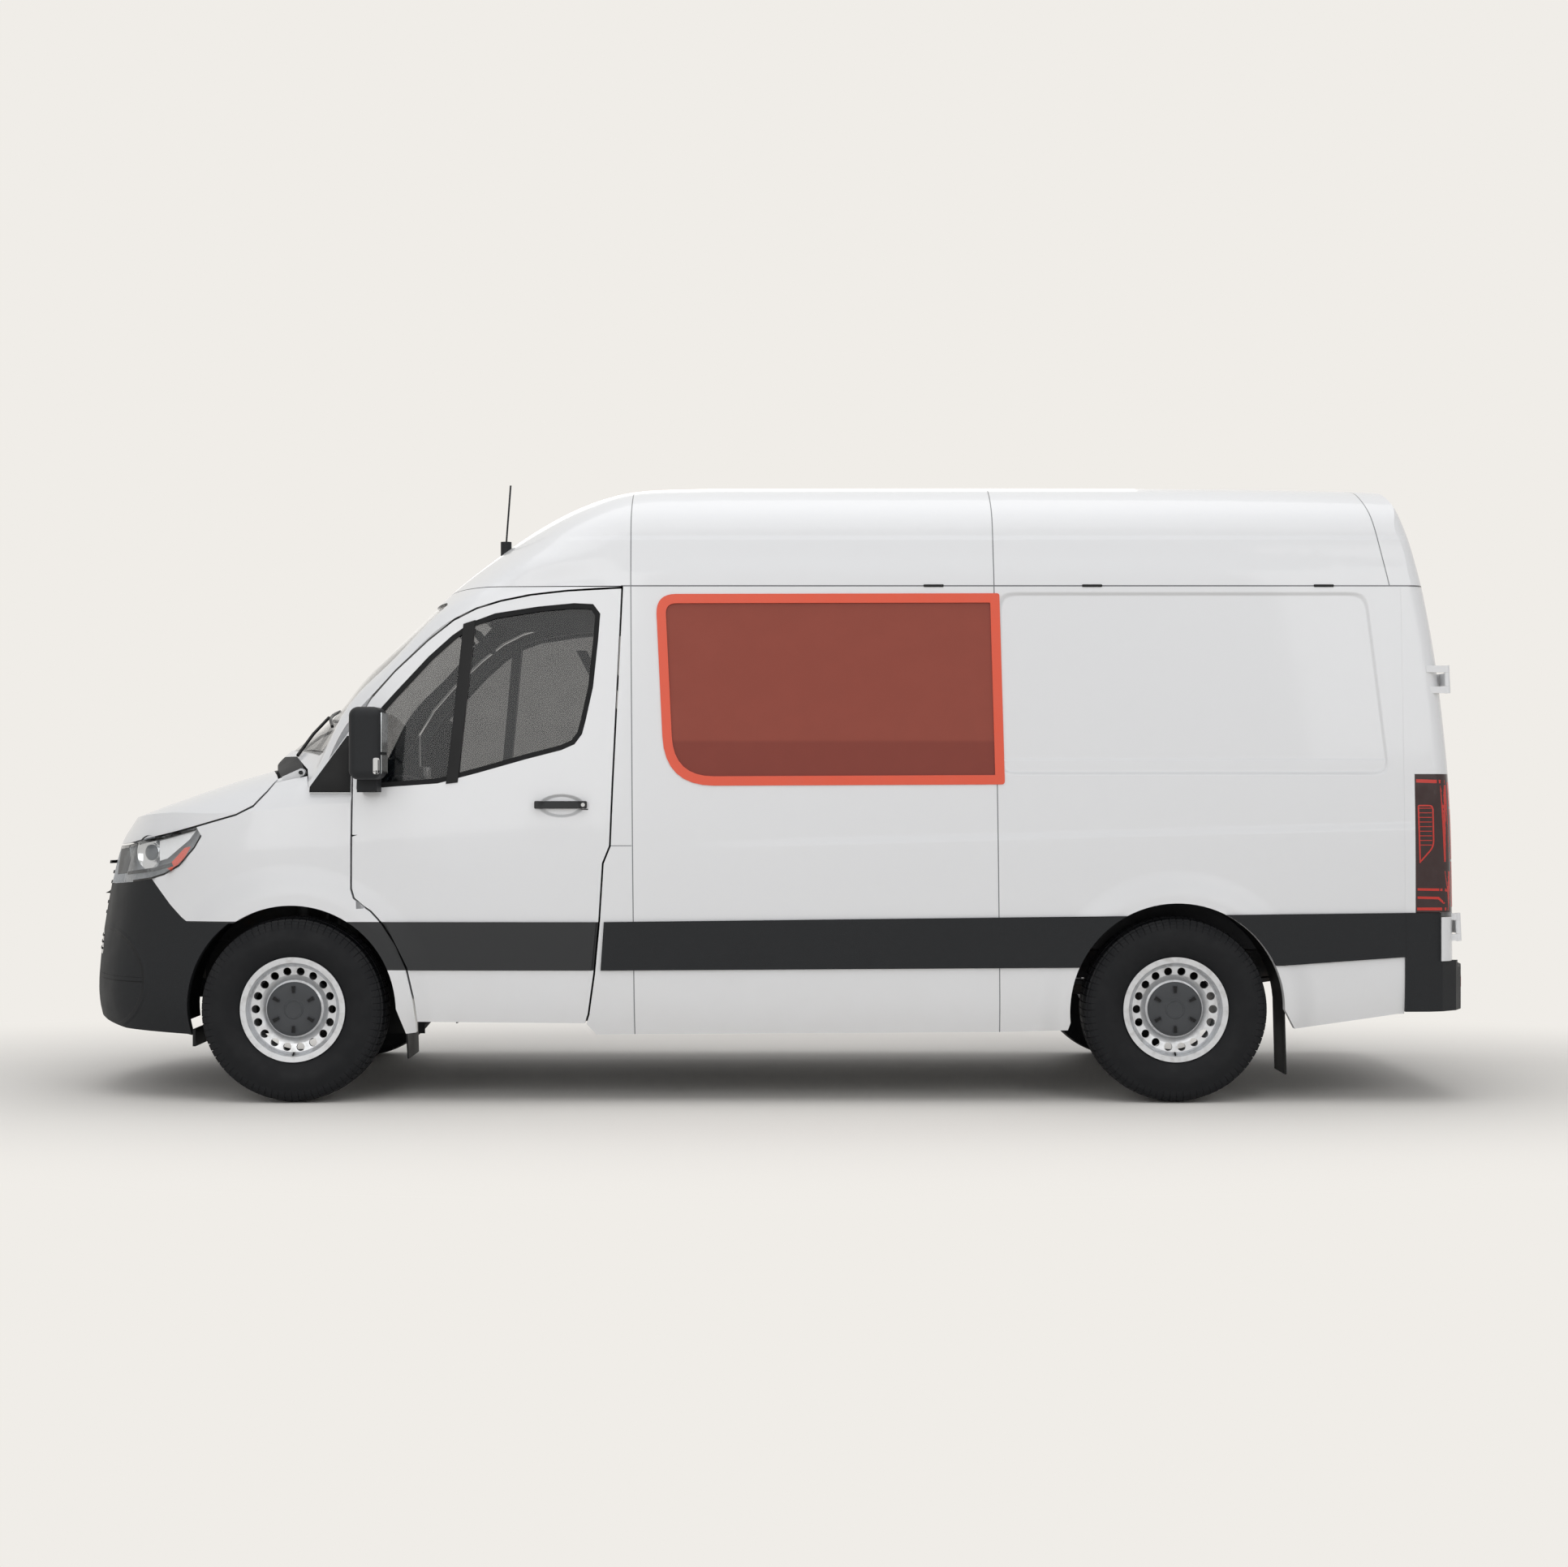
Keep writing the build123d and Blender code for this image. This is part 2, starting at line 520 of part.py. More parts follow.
pillar_xs = [-601.0, -700.0, -823.0, -975.0, -1100.0, -FAR_Y, -1296.0, -1401.0, -1540.0, -1638.0, -1736.0,
    -1850.0, -1893.0]
SCREEN_SIDE = [(x, level(PILLAR, x)) for x in pillar_xs]
SCREEN_SIDE = SCREEN_SIDE + [(-1925.0, 1384.0), (-2020.0, 1440.0), (-2200.0, 1440.0), (-2200.0, 2146.0)]
screen_frame = top_shell & prism(SCREEN_SIDE, -FAR_Y, 1200.0, "y")
SCREEN = [(0.0, 1478.0), (500.0, 1462.0), (800.0, 1440.0), (846.0, 1452.0), (842.0, 1600.0), (822.0,
    1850.0),
          (792.0, 2040.0), (770.0, 2078.0), (700.0, 2092.0), (0.0, 2100.0)]
SCREEN = SCREEN + [(-y, z) for y, z in SCREEN[-2:0:-1]]
screen_frame = screen_frame - prism(SCREEN, -2400.0, -1000.0, "x")
quarter = [(-1893.0, 1284.0), (-1708.0 - SHUT, 1284.0), (-1708.0 - SHUT, level(PILLAR, -1708.0 - SHUT)),
    (-1736.0, level(PILLAR, -1736.0)),
           (-1850.0, level(PILLAR, -1850.0)), (-1893.0, level(PILLAR, -1893.0))]
quarter_piece = side_wall & prism(quarter, -FAR_Y, 0.0, "y")
screen_frame = screen_frame + quarter_piece
screen_frame = biggest(screen_frame + other_side(screen_frame))[0]
glass_half = roof_slab(GLASS_DEPTH, GLASS * 1.4) & prism(grown(SCREEN, -SEAT), -2400.0, -1000.0, "x")
windscreen = biggest(glass_half + other_side(glass_half))[0]

# Cowl between bonnet and windscreen
cowl_front = [(x + 15.0, y) for x, y in BONNET_REAR[:5]]
cowl_plan = cowl_front + [(-1930.0, -850.0)] + [(x + 96.0, y) for x, y in reversed(cowl_front[:4])]
cowl_band = prism(cowl_plan, 1150.0, 1600.0, "z") & bonnet_cover(-50.0)
cowl_band = cowl_band & roof_cover(0.5)
frame_room = roof_slab(-1.0, WALL + 2.0) & prism(grown(SCREEN_SIDE, 2 * SEAT), -FAR_Y, 1200.0, "y")
cowl_half = (((cowl_band & left_half) - bonnet_cover(COWL_DEPTH)) - frame_room) - fender
cowl_half = cowl_half - block(-2100.0, -1930.0 - 1.0, LUG_Y[0] - 6.0, LUG_Y[1] + 6.0, 1200.0, 1500.0)
bonnet_pin = rod((BONNET_PIVOT_X, LUG_Y[0] - 14.0, BONNET_PIVOT_Z), (BONNET_PIVOT_X, LUG_Y[1] + 14.0,
    BONNET_PIVOT_Z), BONNET_PIN_R)
cowl_half = biggest(cowl_half + (bonnet_pin - frame_room))[0]
cowl = biggest(cowl_half + other_side(cowl_half))[0]

SIDE_TOP_Z = GUTTER_Z
SIDE_PANEL = (
    [(x + SHUT, z - 2.0) for x, z in DOOR_REAR] + [(-600.0 + SHUT, SIDE_TOP_Z)]
    + [(SEAM_D_X, SIDE_TOP_Z), (SEAM_D_X, 372.0), (2614.0, 372.0), (2191.0, 309.0), (2130.0, 420.0)]
    + [(1290.0, 420.0), (1252.0, 302.0), (963.0, 295.0), (-547.0, 286.0), (-700.0, 284.0)]
)
rear_arch = drum(REAR_AXLE_X, -1100.0, -500.0, WHEEL_Z, REAR_ARCH_R)
side_panel = side_wall & prism(SIDE_PANEL, -FAR_Y, 0.0, "y")
side_panel = side_panel - rear_arch
side_panel = side_panel + (side_wall & prism(
    [(-1432.0, 325.0), (-752.0, 325.0), (-700.0, 284.0), (-1441.0, 276.0)], -FAR_Y, 0.0, "y"))
side_panel = biggest(side_panel)[0]
left_panel = biggest(side_panel - prism(SIDE_WINDOW, -FAR_Y, 0.0, "y"))[0]

SLIDE = [
    (SEAM_B_X, 330.0), (SLIDE_REAR_X + 40.0, 330.0), (SLIDE_REAR_X + 40.0, GUTTER_Z - 12.0), (SEAM_B_X,
    GUTTER_Z - 12.0),
]
slide_zone = prism(rounded(SLIDE, 60.0), -FAR_Y, 0.0, "y")
right_panel = other_side(biggest(side_panel - slide_zone)[0])
sliding_door = side_panel & prism(rounded(grown(SLIDE, -3.0), 58.0), -FAR_Y, 0.0, "y")
sliding_door = other_side(biggest(sliding_door - prism(SIDE_WINDOW, -FAR_Y, 0.0, "y"))[0])

window_inner = rounded(grown(WINDOW_CORNERS, -WINDOW_FRAME),
    [max(r - WINDOW_FRAME, 4.0) for r in WINDOW_RADII], 8)
window_zone = prism(grown(SIDE_WINDOW, -SEAT), -FAR_Y, 0.0, "y")
window_frame = (side_slab(-4.0, 34.0) & window_zone) - prism(window_inner, -FAR_Y, 0.0, "y")
pane_outline = rounded(grown(WINDOW_CORNERS, -20.0), [max(r - 20.0, 4.0) for r in WINDOW_RADII], 8)
window_pane = side_slab(6.0, GLASS) & prism(pane_outline, -FAR_Y, 0.0, "y")
side_window = biggest(window_frame + window_pane)[0]

# Corner posts at the rear, with a lamp in each
post_zone = prism([(SEAM_D_X + SEAT, 790.0 + SEAT), (BUMPER_STEP_X, 790.0 + SEAT), (BUMPER_STEP_X,
    BUMPER_CORNER_Z + SEAT),
                   (3000.0, BUMPER_CORNER_Z + SEAT), (3000.0, SIDE_TOP_Z), (SEAM_D_X + SEAT, SIDE_TOP_Z)],
                   -FAR_Y, 0.0, "y")
lamp_box = prism([(2684.0, LAMP_BOTTOM_Z), (3000.0, LAMP_BOTTOM_Z), (3000.0, LAMP_TOP_Z), (2684.0,
    LAMP_TOP_Z)], -FAR_Y, 0.0, "y")
lamp_seat = prism(grown([(2684.0, LAMP_BOTTOM_Z - 20), (3000.0, LAMP_BOTTOM_Z - 20), (3000.0, LAMP_TOP_Z),
    (2684.0, LAMP_TOP_Z)], SEAT),
                  -FAR_Y, 0.0, "y")
corner = rear_wall & post_zone
corner = corner - rear_opening
tail_lamp = biggest(corner & lamp_box)[0]
corner_post = corner - lamp_seat
HINGES = ((2875.0, 729.0), (2829.0, 1756.0))
hinge_lean = (HINGES[1][0] - HINGES[0][0]) / (HINGES[1][1] - HINGES[0][1])


def hinge_rod(hx, hz, low, high, radius):
    start = (hx + low * hinge_lean, -REAR_HINGE_Y, hz + low)
    return rod(start, (hx + high * hinge_lean, -REAR_HINGE_Y, hz + high), radius)


for hx, hz in HINGES:
    for low, high in ((28.0 + RUNNING, 58.0), (-58.0, -28.0 - RUNNING)):
        ear = hinge_rod(hx, hz, low, high, 11.0)
        arm = block(2740.0, hx, -REAR_HINGE_Y - 8.0, -REAR_HINGE_Y + 8.0, hz + low + 1.0, hz + high - 1.0)
        arm = arm - rear_cover(0.0, 400.0)
        corner_post = corner_post + (ear + arm)
corner_post = biggest(corner_post, 2)

# Doors ------------------------------------------------------------------------------
door_strip_outline = [(-1472.0, STRIP_BOTTOM_Z), (-718.0, STRIP_BOTTOM_Z), (-698.0, STRIP_TOP_Z),
    (-1572.0, STRIP_TOP_Z)]
door_body = side_wall & prism(DOOR_OUTLINE, -FAR_Y, 0.0, "y")
door_body = door_body - prism(DOOR_WINDOW, -FAR_Y, 0.0, "y")
strip_slab = side_slab(-STRIP_PROUD, STRIP_PROUD + 5.0)
door_strip = strip_slab & prism(door_strip_outline, -FAR_Y, 0.0, "y")
DIVIDER = [(-1322.0, 1290.0), (-1278.0, 1290.0), (-1205.0, 2040.0), (-1249.0, 2040.0)]
divider = side_slab(4.0, 30.0) & prism(DIVIDER, -FAR_Y, 0.0, "y") & prism(DOOR_OUTLINE, -FAR_Y, 0.0, "y")
handle_z = 1236.0
handle_y = half_width(-850.0, handle_z)
handle = block(-950.0, -740.0, -handle_y - 26.0, -handle_y - 8.0, handle_z - 14.0, handle_z + 14.0)
handle = handle + block(-944.0, -922.0, -handle_y - 20.0, -handle_y + 6.0, handle_z - 12.0, handle_z + 12.0)
handle = handle + block(-768.0, -746.0, -handle_y - 20.0, -handle_y + 6.0, handle_z - 12.0, handle_z + 12.0)
front_door = door_body + door_strip + divider + handle
hinge_arms = []
for z in DOOR_HINGE_Z:
    pocket = rod((DOOR_PIVOT_X, -DOOR_PIVOT_Y, z - 22.0), (DOOR_PIVOT_X, -DOOR_PIVOT_Y, z + 22.0), 8.3)
    pocket = pocket + block(-1730.0, DOOR_PIVOT_X + 12.0, -DOOR_PIVOT_Y - 8.3, -900.0, z - 22.0, z + 22.0)
    front_door = front_door - pocket
    front_door = front_door + rod((DOOR_PIVOT_X, -DOOR_PIVOT_Y, z - 26.0), (DOOR_PIVOT_X, -DOOR_PIVOT_Y,
        z + 26.0), DOOR_PIN_R)
    arm = rod((DOOR_PIVOT_X, -DOOR_PIVOT_Y, z - 14.0), (DOOR_PIVOT_X, -DOOR_PIVOT_Y, z + 14.0), 7.0)
    arm = arm + block(DOOR_PIVOT_X - 6.0, DOOR_PIVOT_X + 6.0, -DOOR_PIVOT_Y, -905.0, z - 14.0, z + 14.0)
    arm = arm + block(-1765.0, DOOR_PIVOT_X + 6.0, -919.0, -905.0, z - 14.0, z + 14.0)
    arm = arm + block(-1765.0, -1740.0, -950.0, -905.0, z - 14.0, z + 14.0)
    arm = arm - rod((DOOR_PIVOT_X, -DOOR_PIVOT_Y, z - 20.0), (DOOR_PIVOT_X, -DOOR_PIVOT_Y, z + 20.0),
        DOOR_PIN_R + SEAT)
    hinge_arms.append(arm)
front_door = biggest(front_door)[0]
# Room for the door's front edge as it swings in beside the fender
fender = fender - rod((DOOR_PIVOT_X, -DOOR_PIVOT_Y, 806.0), (DOOR_PIVOT_X, -DOOR_PIVOT_Y, 856.0), 21.0)
fender = biggest(fender + hinge_arms[0] + hinge_arms[1])[0]
door_glass_zone = prism(grown(DOOR_WINDOW, -SEAT), -FAR_Y, 0.0, "y")
door_glass = (side_slab(GLASS_DEPTH + 4.0, 5.0) & door_glass_zone) - prism(grown(DIVIDER, SEAT), -FAR_Y,
    0.0, "y")
door_glass = biggest(door_glass, 2)

mirror_head = block(-1690.0, -1556.0, -1196.0, -1000.0, 1340.0, 1636.0)
mirror_head = mirror_head.fillet(38.0, mirror_head.edges())
mirror_y = half_width(-1630.0, 1300.0)
mirror_arm = block(-1672.0, -1590.0, -1080.0, -mirror_y + 2.0, 1288.0, 1345.0)
mirror = mirror_head + mirror_arm
mirror = biggest(mirror - side_wall)[0]

rear_door = rear_wall & prism(REAR_DOOR, 2400.0, 3100.0, "x")
rear_door = biggest(rear_door)[0]
for hx, hz in HINGES:
    edge = half_width(2800.0, hz) - CORNER_POST
    face = level(REAR, hz) - 41.0
    strap = block(hx - 6.0, hx + 6.0, -REAR_HINGE_Y, -edge + 40.0, hz - 26.0, hz + 26.0)
    pad = block(face - 14.0, hx + 6.0, -edge + 4.0, -edge + 46.0, hz - 26.0, hz + 26.0)
    rear_door = rear_door + (strap + pad + hinge_rod(hx, hz, -28.0, 28.0, 11.0))
rear_door = biggest(rear_door)[0]

# Black bands --------------------------------------------------------------------------
band_outline = [(SEAM_B_X - 128.0, STRIP_BOTTOM_Z), (SEAM_B_X - 128.0 + 14.0, STRIP_TOP_Z), (SEAM_D_X,
    790.0), (SEAM_D_X, 608.0),
                (2133.0, 572.0), (1313.0, 564.0)]
band = (side_slab(-STRIP_PROUD, STRIP_PROUD - SEAT) & prism(band_outline, -FAR_Y, 0.0, "y")) - rear_arch
bands = biggest(band, 2)

# Bumper at the rear ---------------------------------------------------------------------
def rear_bumper():
    outer = [
        (REAR_BUMPER_X, 0.0), (REAR_BUMPER_X, -560.0), (2948.0, -720.0), (2912.0, -850.0), (2870.0, -930.0),
        (2800.0, -985.0), (2740.0, -1004.0), (SEAM_D_X + SEAT, -1008.0),
    ]
    inner = [
        (SEAM_D_X + SEAT, -1008.0 + BUMPER_DEPTH), (2745.0, -955.0), (2800.0, -935.0), (2850.0, -890.0),
        (2872.0, -800.0),
        (2880.0, -560.0), (2880.0, 0.0),
    ]
    plan = outer + inner
    low = prism(plan, 382.0, 560.0, "z")
    corner = prism(plan, 559.0, 790.0, "z") & block(2500.0, BUMPER_STEP_X, -1100.0, -910.0, 500.0, 800.0)
    rear = prism(plan, 559.0, BUMPER_CORNER_Z, "z") & block(2500.0, 3100.0, -1100.0, -905.0, 500.0, 800.0)
    return biggest(low + corner + rear)[0]


rear_bumper_half = rear_bumper()

# Floor with wheel boxes and toe board ---------------------------------------------------
inside_y = HALF_WIDTH - WALL - 0.5
floor = block(-560.0, 2600.0, -inside_y, inside_y, FLOOR_Z, FLOOR_Z + FLOOR_THICK)
floor = floor + block(2590.0, 2800.0, -860.0, 860.0, FLOOR_Z, FLOOR_Z + FLOOR_THICK)
floor = floor + block(-1500.0, -550.0, -928.0, 928.0, FLOOR_Z, FLOOR_Z + FLOOR_THICK)
toe_board = prism(
    [(-1500.0, FLOOR_Z), (-1545.0, FLOOR_Z + 10.0), (-1640.0, 830.0), (-1780.0, 1000.0), (-2020.0,
    1270.0), (-2020.0, 1283.0),
     (-1996.0, 1283.0), (-1990.0, 1280.0), (-1752.0, 1010.0), (-1612.0, 850.0), (-1525.0,
     FLOOR_Z + FLOOR_THICK), (-1500.0, FLOOR_Z + FLOOR_THICK)],
    -800.0, 800.0, "y")
floor = floor + toe_board
for side in (-1, 1):
    floor = floor + block(-1725.0, -1665.0, side * 300.0 - 40.0, side * 300.0 + 40.0, 930.0, 1000.0 - SEAT)
    wheel_box = drum(REAR_AXLE_X, side * 690.0, side * inside_y, WHEEL_Z, REAR_ARCH_R + 26.0)
    wheel_box = wheel_box & block(REAR_AXLE_X - 600.0, REAR_AXLE_X + 600.0, -1100.0, 1100.0, FLOOR_Z,
        1000.0)
    hollow = drum(REAR_AXLE_X, side * 700.0, side * (inside_y + 10.0), WHEEL_Z,
        REAR_ARCH_R + 4.0 + LINER_THICK + SEAT)
    floor = floor + wheel_box
    floor = floor - hollow
floor = biggest(floor)[0]


# Wheel-arch liners, each with its mud flap ------------------------------------------------
def liner(axle_x, radius, y0, y1, flap_x, flap_z, low_z):
    ring = drum(axle_x, y0, y1, WHEEL_Z, radius + LINER_THICK) - drum(axle_x, y0 - 10, y1 + 10, WHEEL_Z,
        radius)
    ring = ring & block(axle_x - 700.0, axle_x + 700.0, y0 - 50.0, y1 + 50.0, low_z, 1200.0)
    top_x = axle_x + sqrt(radius * radius - (low_z - WHEEL_Z) ** 2)
    flap = prism([(top_x, low_z + 14.0), (top_x + LINER_THICK + 2.0, low_z + 14.0),
        (flap_x + LINER_THICK + 2.0, flap_z), (flap_x, flap_z)], y0, y1, "y")
    return biggest(ring + flap)[0]


front_liner = liner(FRONT_AXLE_X, LINER_R, -960.0, -610.0, FRONT_AXLE_X + LINER_R + 1.0, 175.0, 330.0)
front_liner = biggest(front_liner & nose_cover(WALL + 2 * SEAT, 1250.0))[0]
rear_liner = liner(REAR_AXLE_X, REAR_ARCH_R + 4.0, -935.0, -715.0, 2158.0, 115.0, 420.0)


# Chassis ------------------------------------------------------------------------------------
rail_low = RAIL_TOP_Z - RAIL_HEIGHT
chassis = None
for side in (-1, 1):
    y0 = side * RAIL_Y - RAIL_WIDTH / 2
    rail = block(-2700.0, 2795.0, y0, y0 + RAIL_WIDTH, rail_low, RAIL_TOP_Z)
    chassis = rail if chassis is None else chassis + rail
CROSS_X = (-1250.0, -350.0, 550.0, 1180.0, 2240.0)
for x in CROSS_X:
    chassis = chassis + block(x - 35.0, x + 35.0, -inside_y + 30.0, inside_y - 30.0, RAIL_TOP_Z - 40.0,
        FLOOR_Z - SEAT)
chassis = chassis + block(2720.0, 2795.0, -800.0, 800.0, 500.0, FLOOR_Z - SEAT)
chassis = chassis + block(-2740.0, -2690.0, -620.0, 620.0, 440.0, 600.0)
chassis = chassis + block(-2240.0, -2140.0, -RAIL_Y, RAIL_Y, 430.0, 500.0)
chassis = chassis + block(FRONT_AXLE_X - 90.0, FRONT_AXLE_X + 90.0, -RAIL_Y - 40.0, RAIL_Y + 40.0, 330.0,
    400.0)
strut_towers = []
for side in (-1, 1):
    post = block(FRONT_AXLE_X - 60.0, FRONT_AXLE_X + 60.0, side * RAIL_Y - 40.0, side * RAIL_Y + 40.0,
        395.0, rail_low + 5.0)
    arm = prism([(FRONT_AXLE_X - 80.0, side * 440.0), (FRONT_AXLE_X + 80.0, side * 440.0),
        (FRONT_AXLE_X + 30.0, side * (KINGPIN_Y + 26.0)),
                 (FRONT_AXLE_X - 30.0, side * (KINGPIN_Y + 26.0))], 262.0, 300.0 - RUNNING, "z")
    drop = block(FRONT_AXLE_X - 60.0, FRONT_AXLE_X + 60.0, side * 450.0 - 20.0, side * 450.0 + 20.0,
        262.0, 340.0)
    tower = rod((FRONT_AXLE_X, side * KINGPIN_Y, WHEEL_Z + LINER_R + LINER_THICK + SEAT), (FRONT_AXLE_X,
        side * KINGPIN_Y, 1010.0), 62.0)
    bridge = block(FRONT_AXLE_X - 50.0, FRONT_AXLE_X + 50.0, side * 560.0 - 190.0, side * 560.0 + 190.0,
        960.0, 1010.0)
    leg = block(FRONT_AXLE_X - 50.0, FRONT_AXLE_X + 50.0, side * RAIL_Y - 40.0, side * RAIL_Y + 20.0,
        RAIL_TOP_Z + SEAT, 1010.0)
    strut_towers.append(biggest(tower + bridge + leg)[0])
    chassis = chassis + post + arm + drop
tow = rod((-2745.0, TOW_Y, TOW_Z), (-2745.0 - 55.0 - TOW_SOCKET_LENGTH, TOW_Y, TOW_Z), 24.0)
tow_x = -2745.0 - 55.0 - TOW_SOCKET_LENGTH
chassis = chassis + block(-2760.0, -2735.0, TOW_Y - 30.0, TOW_Y + 30.0, TOW_Z - 30.0, TOW_Z + 30.0) + tow
chassis = chassis - rod((tow_x - 5.0, TOW_Y, TOW_Z), (tow_x + TOW_SOCKET_LENGTH, TOW_Y, TOW_Z),
    TOW_SOCKET_R)
bumper_arm = block(-2880.0, -2735.0, -590.0, -530.0, 500.0, 560.0) & nose_cover(WALL + 2 * SEAT, 1250.0)
chassis = chassis + bumper_arm + other_side(bumper_arm)
for side in (-1, 1):
    chassis = chassis + block(2790.0, 2880.0 - SEAT, side * 500.0 - 40.0, side * 500.0 + 40.0, 500.0, 550.0)
    chassis = chassis + block(2722.0, 2762.0, side * 150.0 - 20.0, side * 150.0 + 20.0, HITCH_Z - 38.0,
        505.0)
chassis = chassis + block(2750.0, HITCH_X, -190.0, 190.0, HITCH_Z - 38.0, HITCH_Z + 38.0)
for side in (-1, 1):
    for dz in (-HITCH_SPACING_Z / 2, HITCH_SPACING_Z / 2):
        y = side * HITCH_SPACING_Y / 2
        chassis = chassis - rod((2740.0, y, HITCH_Z + dz), (HITCH_X + 10.0, y, HITCH_Z + dz), HITCH_HOLE_R)
chassis = biggest(chassis)[0]

# Rear axle and leaf springs -------------------------------------------------------------------
axle = rod((REAR_AXLE_X, -WHEEL_Y + 55.0, WHEEL_Z), (REAR_AXLE_X, WHEEL_Y - 55.0, WHEEL_Z), 42.0)
axle = axle + rod((REAR_AXLE_X, -WHEEL_Y - 60.0, WHEEL_Z), (REAR_AXLE_X, WHEEL_Y + 60.0, WHEEL_Z), STUB_R)
axle = axle + Solid.make_sphere(140.0, Plane((REAR_AXLE_X, 0, WHEEL_Z)), -90, 90, 360).solids()[0]
for side in (-1, 1):
    y0 = side * 560.0 - 35.0
    spring = prism([(1080.0, 500.0), (1330.0, 462.0), (1560.0, 440.0), (1850.0, 440.0), (2080.0, 462.0),
        (2330.0, 500.0),
                    (2330.0, 514.0), (2080.0, 480.0), (1850.0, 468.0), (1560.0, 468.0), (1330.0, 480.0),
                    (1080.0, 514.0)], y0, y0 + 70.0, "y")
    seat_pad = block(REAR_AXLE_X - 50.0, REAR_AXLE_X + 50.0, y0, y0 + 70.0, 400.0, 450.0)
    axle = axle + spring + seat_pad
    for x in (1086.0, 2326.0):
        bracket = block(x - 20.0, x + 20.0, min(side * (RAIL_Y + 35.0), side * 596.0),
            max(side * (RAIL_Y + 35.0), side * 596.0), 514.0 + SEAT, 560.0)
        chassis = chassis + bracket
chassis = biggest(chassis)[0]
axle = biggest(axle)[0]


# Wheels ---------------------------------------------------------------------------------------
def ring_solid(profile, x, y, side):
    """Profile (distance outwards from the wheel's centre plane, radius) turned about the axle."""
    wire = Wire.make_polygon([Vector(x, y + side * a, WHEEL_Z + r) for a, r in profile], close=True)
    return Solid.revolve(Face(wire), 360.0, Axis((x, y, WHEEL_Z), (0, 1, 0)))


HALF_TYRE = TYRE_WIDTH / 2
TYRE_PROFILE = [
    (-FLANGE_Y + 1.0, RIM_R + SEAT), (-FLANGE_Y + 1.0, RIM_R + 17.0), (-FLANGE_Y - 12.0, RIM_R + 28.0),
    (-HALF_TYRE + 5.0, RIM_R + 58.0),
    (-HALF_TYRE, RIM_R + 88.0), (-HALF_TYRE + 4.0, TYRE_R - 50.0), (-HALF_TYRE + 20.0, TYRE_R - 16.0),
    (-HALF_TYRE + 52.0, TYRE_R - 3.0),
    (0.0, TYRE_R), (HALF_TYRE - 52.0, TYRE_R - 3.0), (HALF_TYRE - 20.0, TYRE_R - 16.0), (HALF_TYRE - 4.0,
    TYRE_R - 50.0),
    (HALF_TYRE, RIM_R + 88.0), (HALF_TYRE - 5.0, RIM_R + 58.0), (FLANGE_Y + 12.0, RIM_R + 28.0),
    (FLANGE_Y - 1.0, RIM_R + 17.0),
    (FLANGE_Y - 1.0, RIM_R + SEAT),
]
RIM_PROFILE = [
    (-FLANGE_Y - 8.0, RIM_R + 15.0), (-FLANGE_Y, RIM_R + 15.0), (-FLANGE_Y, RIM_R), (-42.0, RIM_R - 1.0),
    (-30.0, RIM_R - 18.0),
    (26.0, RIM_R - 18.0), (40.0, RIM_R - 1.0), (FLANGE_Y, RIM_R), (FLANGE_Y, RIM_R + 15.0),
    (FLANGE_Y + 8.0, RIM_R + 15.0),
    (FLANGE_Y + 6.0, RIM_R - 8.0), (FLANGE_Y - 8.0, RIM_R - 11.0), (62.0, 188.0), (70.0, 178.0), (62.0,
    144.0), (44.0, 120.0),
    (52.0, 108.0), (60.0, 82.0), (62.0, HUB_BORE_R), (40.0, HUB_BORE_R), (40.0, 90.0), (30.0, 118.0),
    (46.0, 150.0), (52.0, 172.0),
    (38.0, 179.0), (-30.0, RIM_R - 26.0), (-46.0, RIM_R - 9.0), (-FLANGE_Y - 4.0, RIM_R - 8.0),
]


def tyre(x, side):
    return ring_solid(TYRE_PROFILE, x, side * WHEEL_Y, side)


def rim(x, side):
    y = side * WHEEL_Y
    body = ring_solid(RIM_PROFILE, x, y, side)
    for k in range(VENT_COUNT):
        angle = 2 * pi * k / VENT_COUNT
        cx = x + 159.0 * cos(angle)
        cz = WHEEL_Z + 159.0 * sin(angle)
        body = body - rod((cx, y + side * 30.0, cz), (cx, y + side * 90.0, cz), 17.0)
    return biggest(body)[0]


def knuckle(side):
    y = side * KINGPIN_Y
    post = rod((FRONT_AXLE_X, y, 300.0), (FRONT_AXLE_X, y, 835.0), 30.0)
    carrier = rod((FRONT_AXLE_X, y, WHEEL_Z), (FRONT_AXLE_X, side * (WHEEL_Y + 14.0), WHEEL_Z), 70.0)
    stub = rod((FRONT_AXLE_X, y, WHEEL_Z), (FRONT_AXLE_X, side * (WHEEL_Y + 70.0), WHEEL_Z), STUB_R)
    disc = rod((FRONT_AXLE_X, side * (WHEEL_Y - 34.0), WHEEL_Z), (FRONT_AXLE_X, side * (WHEEL_Y - 8.0),
        WHEEL_Z), 146.0)
    return biggest(post + carrier + stub + disc)[0]


# Inside ------------------------------------------------------------------------------------------
floor_top = FLOOR_Z + FLOOR_THICK


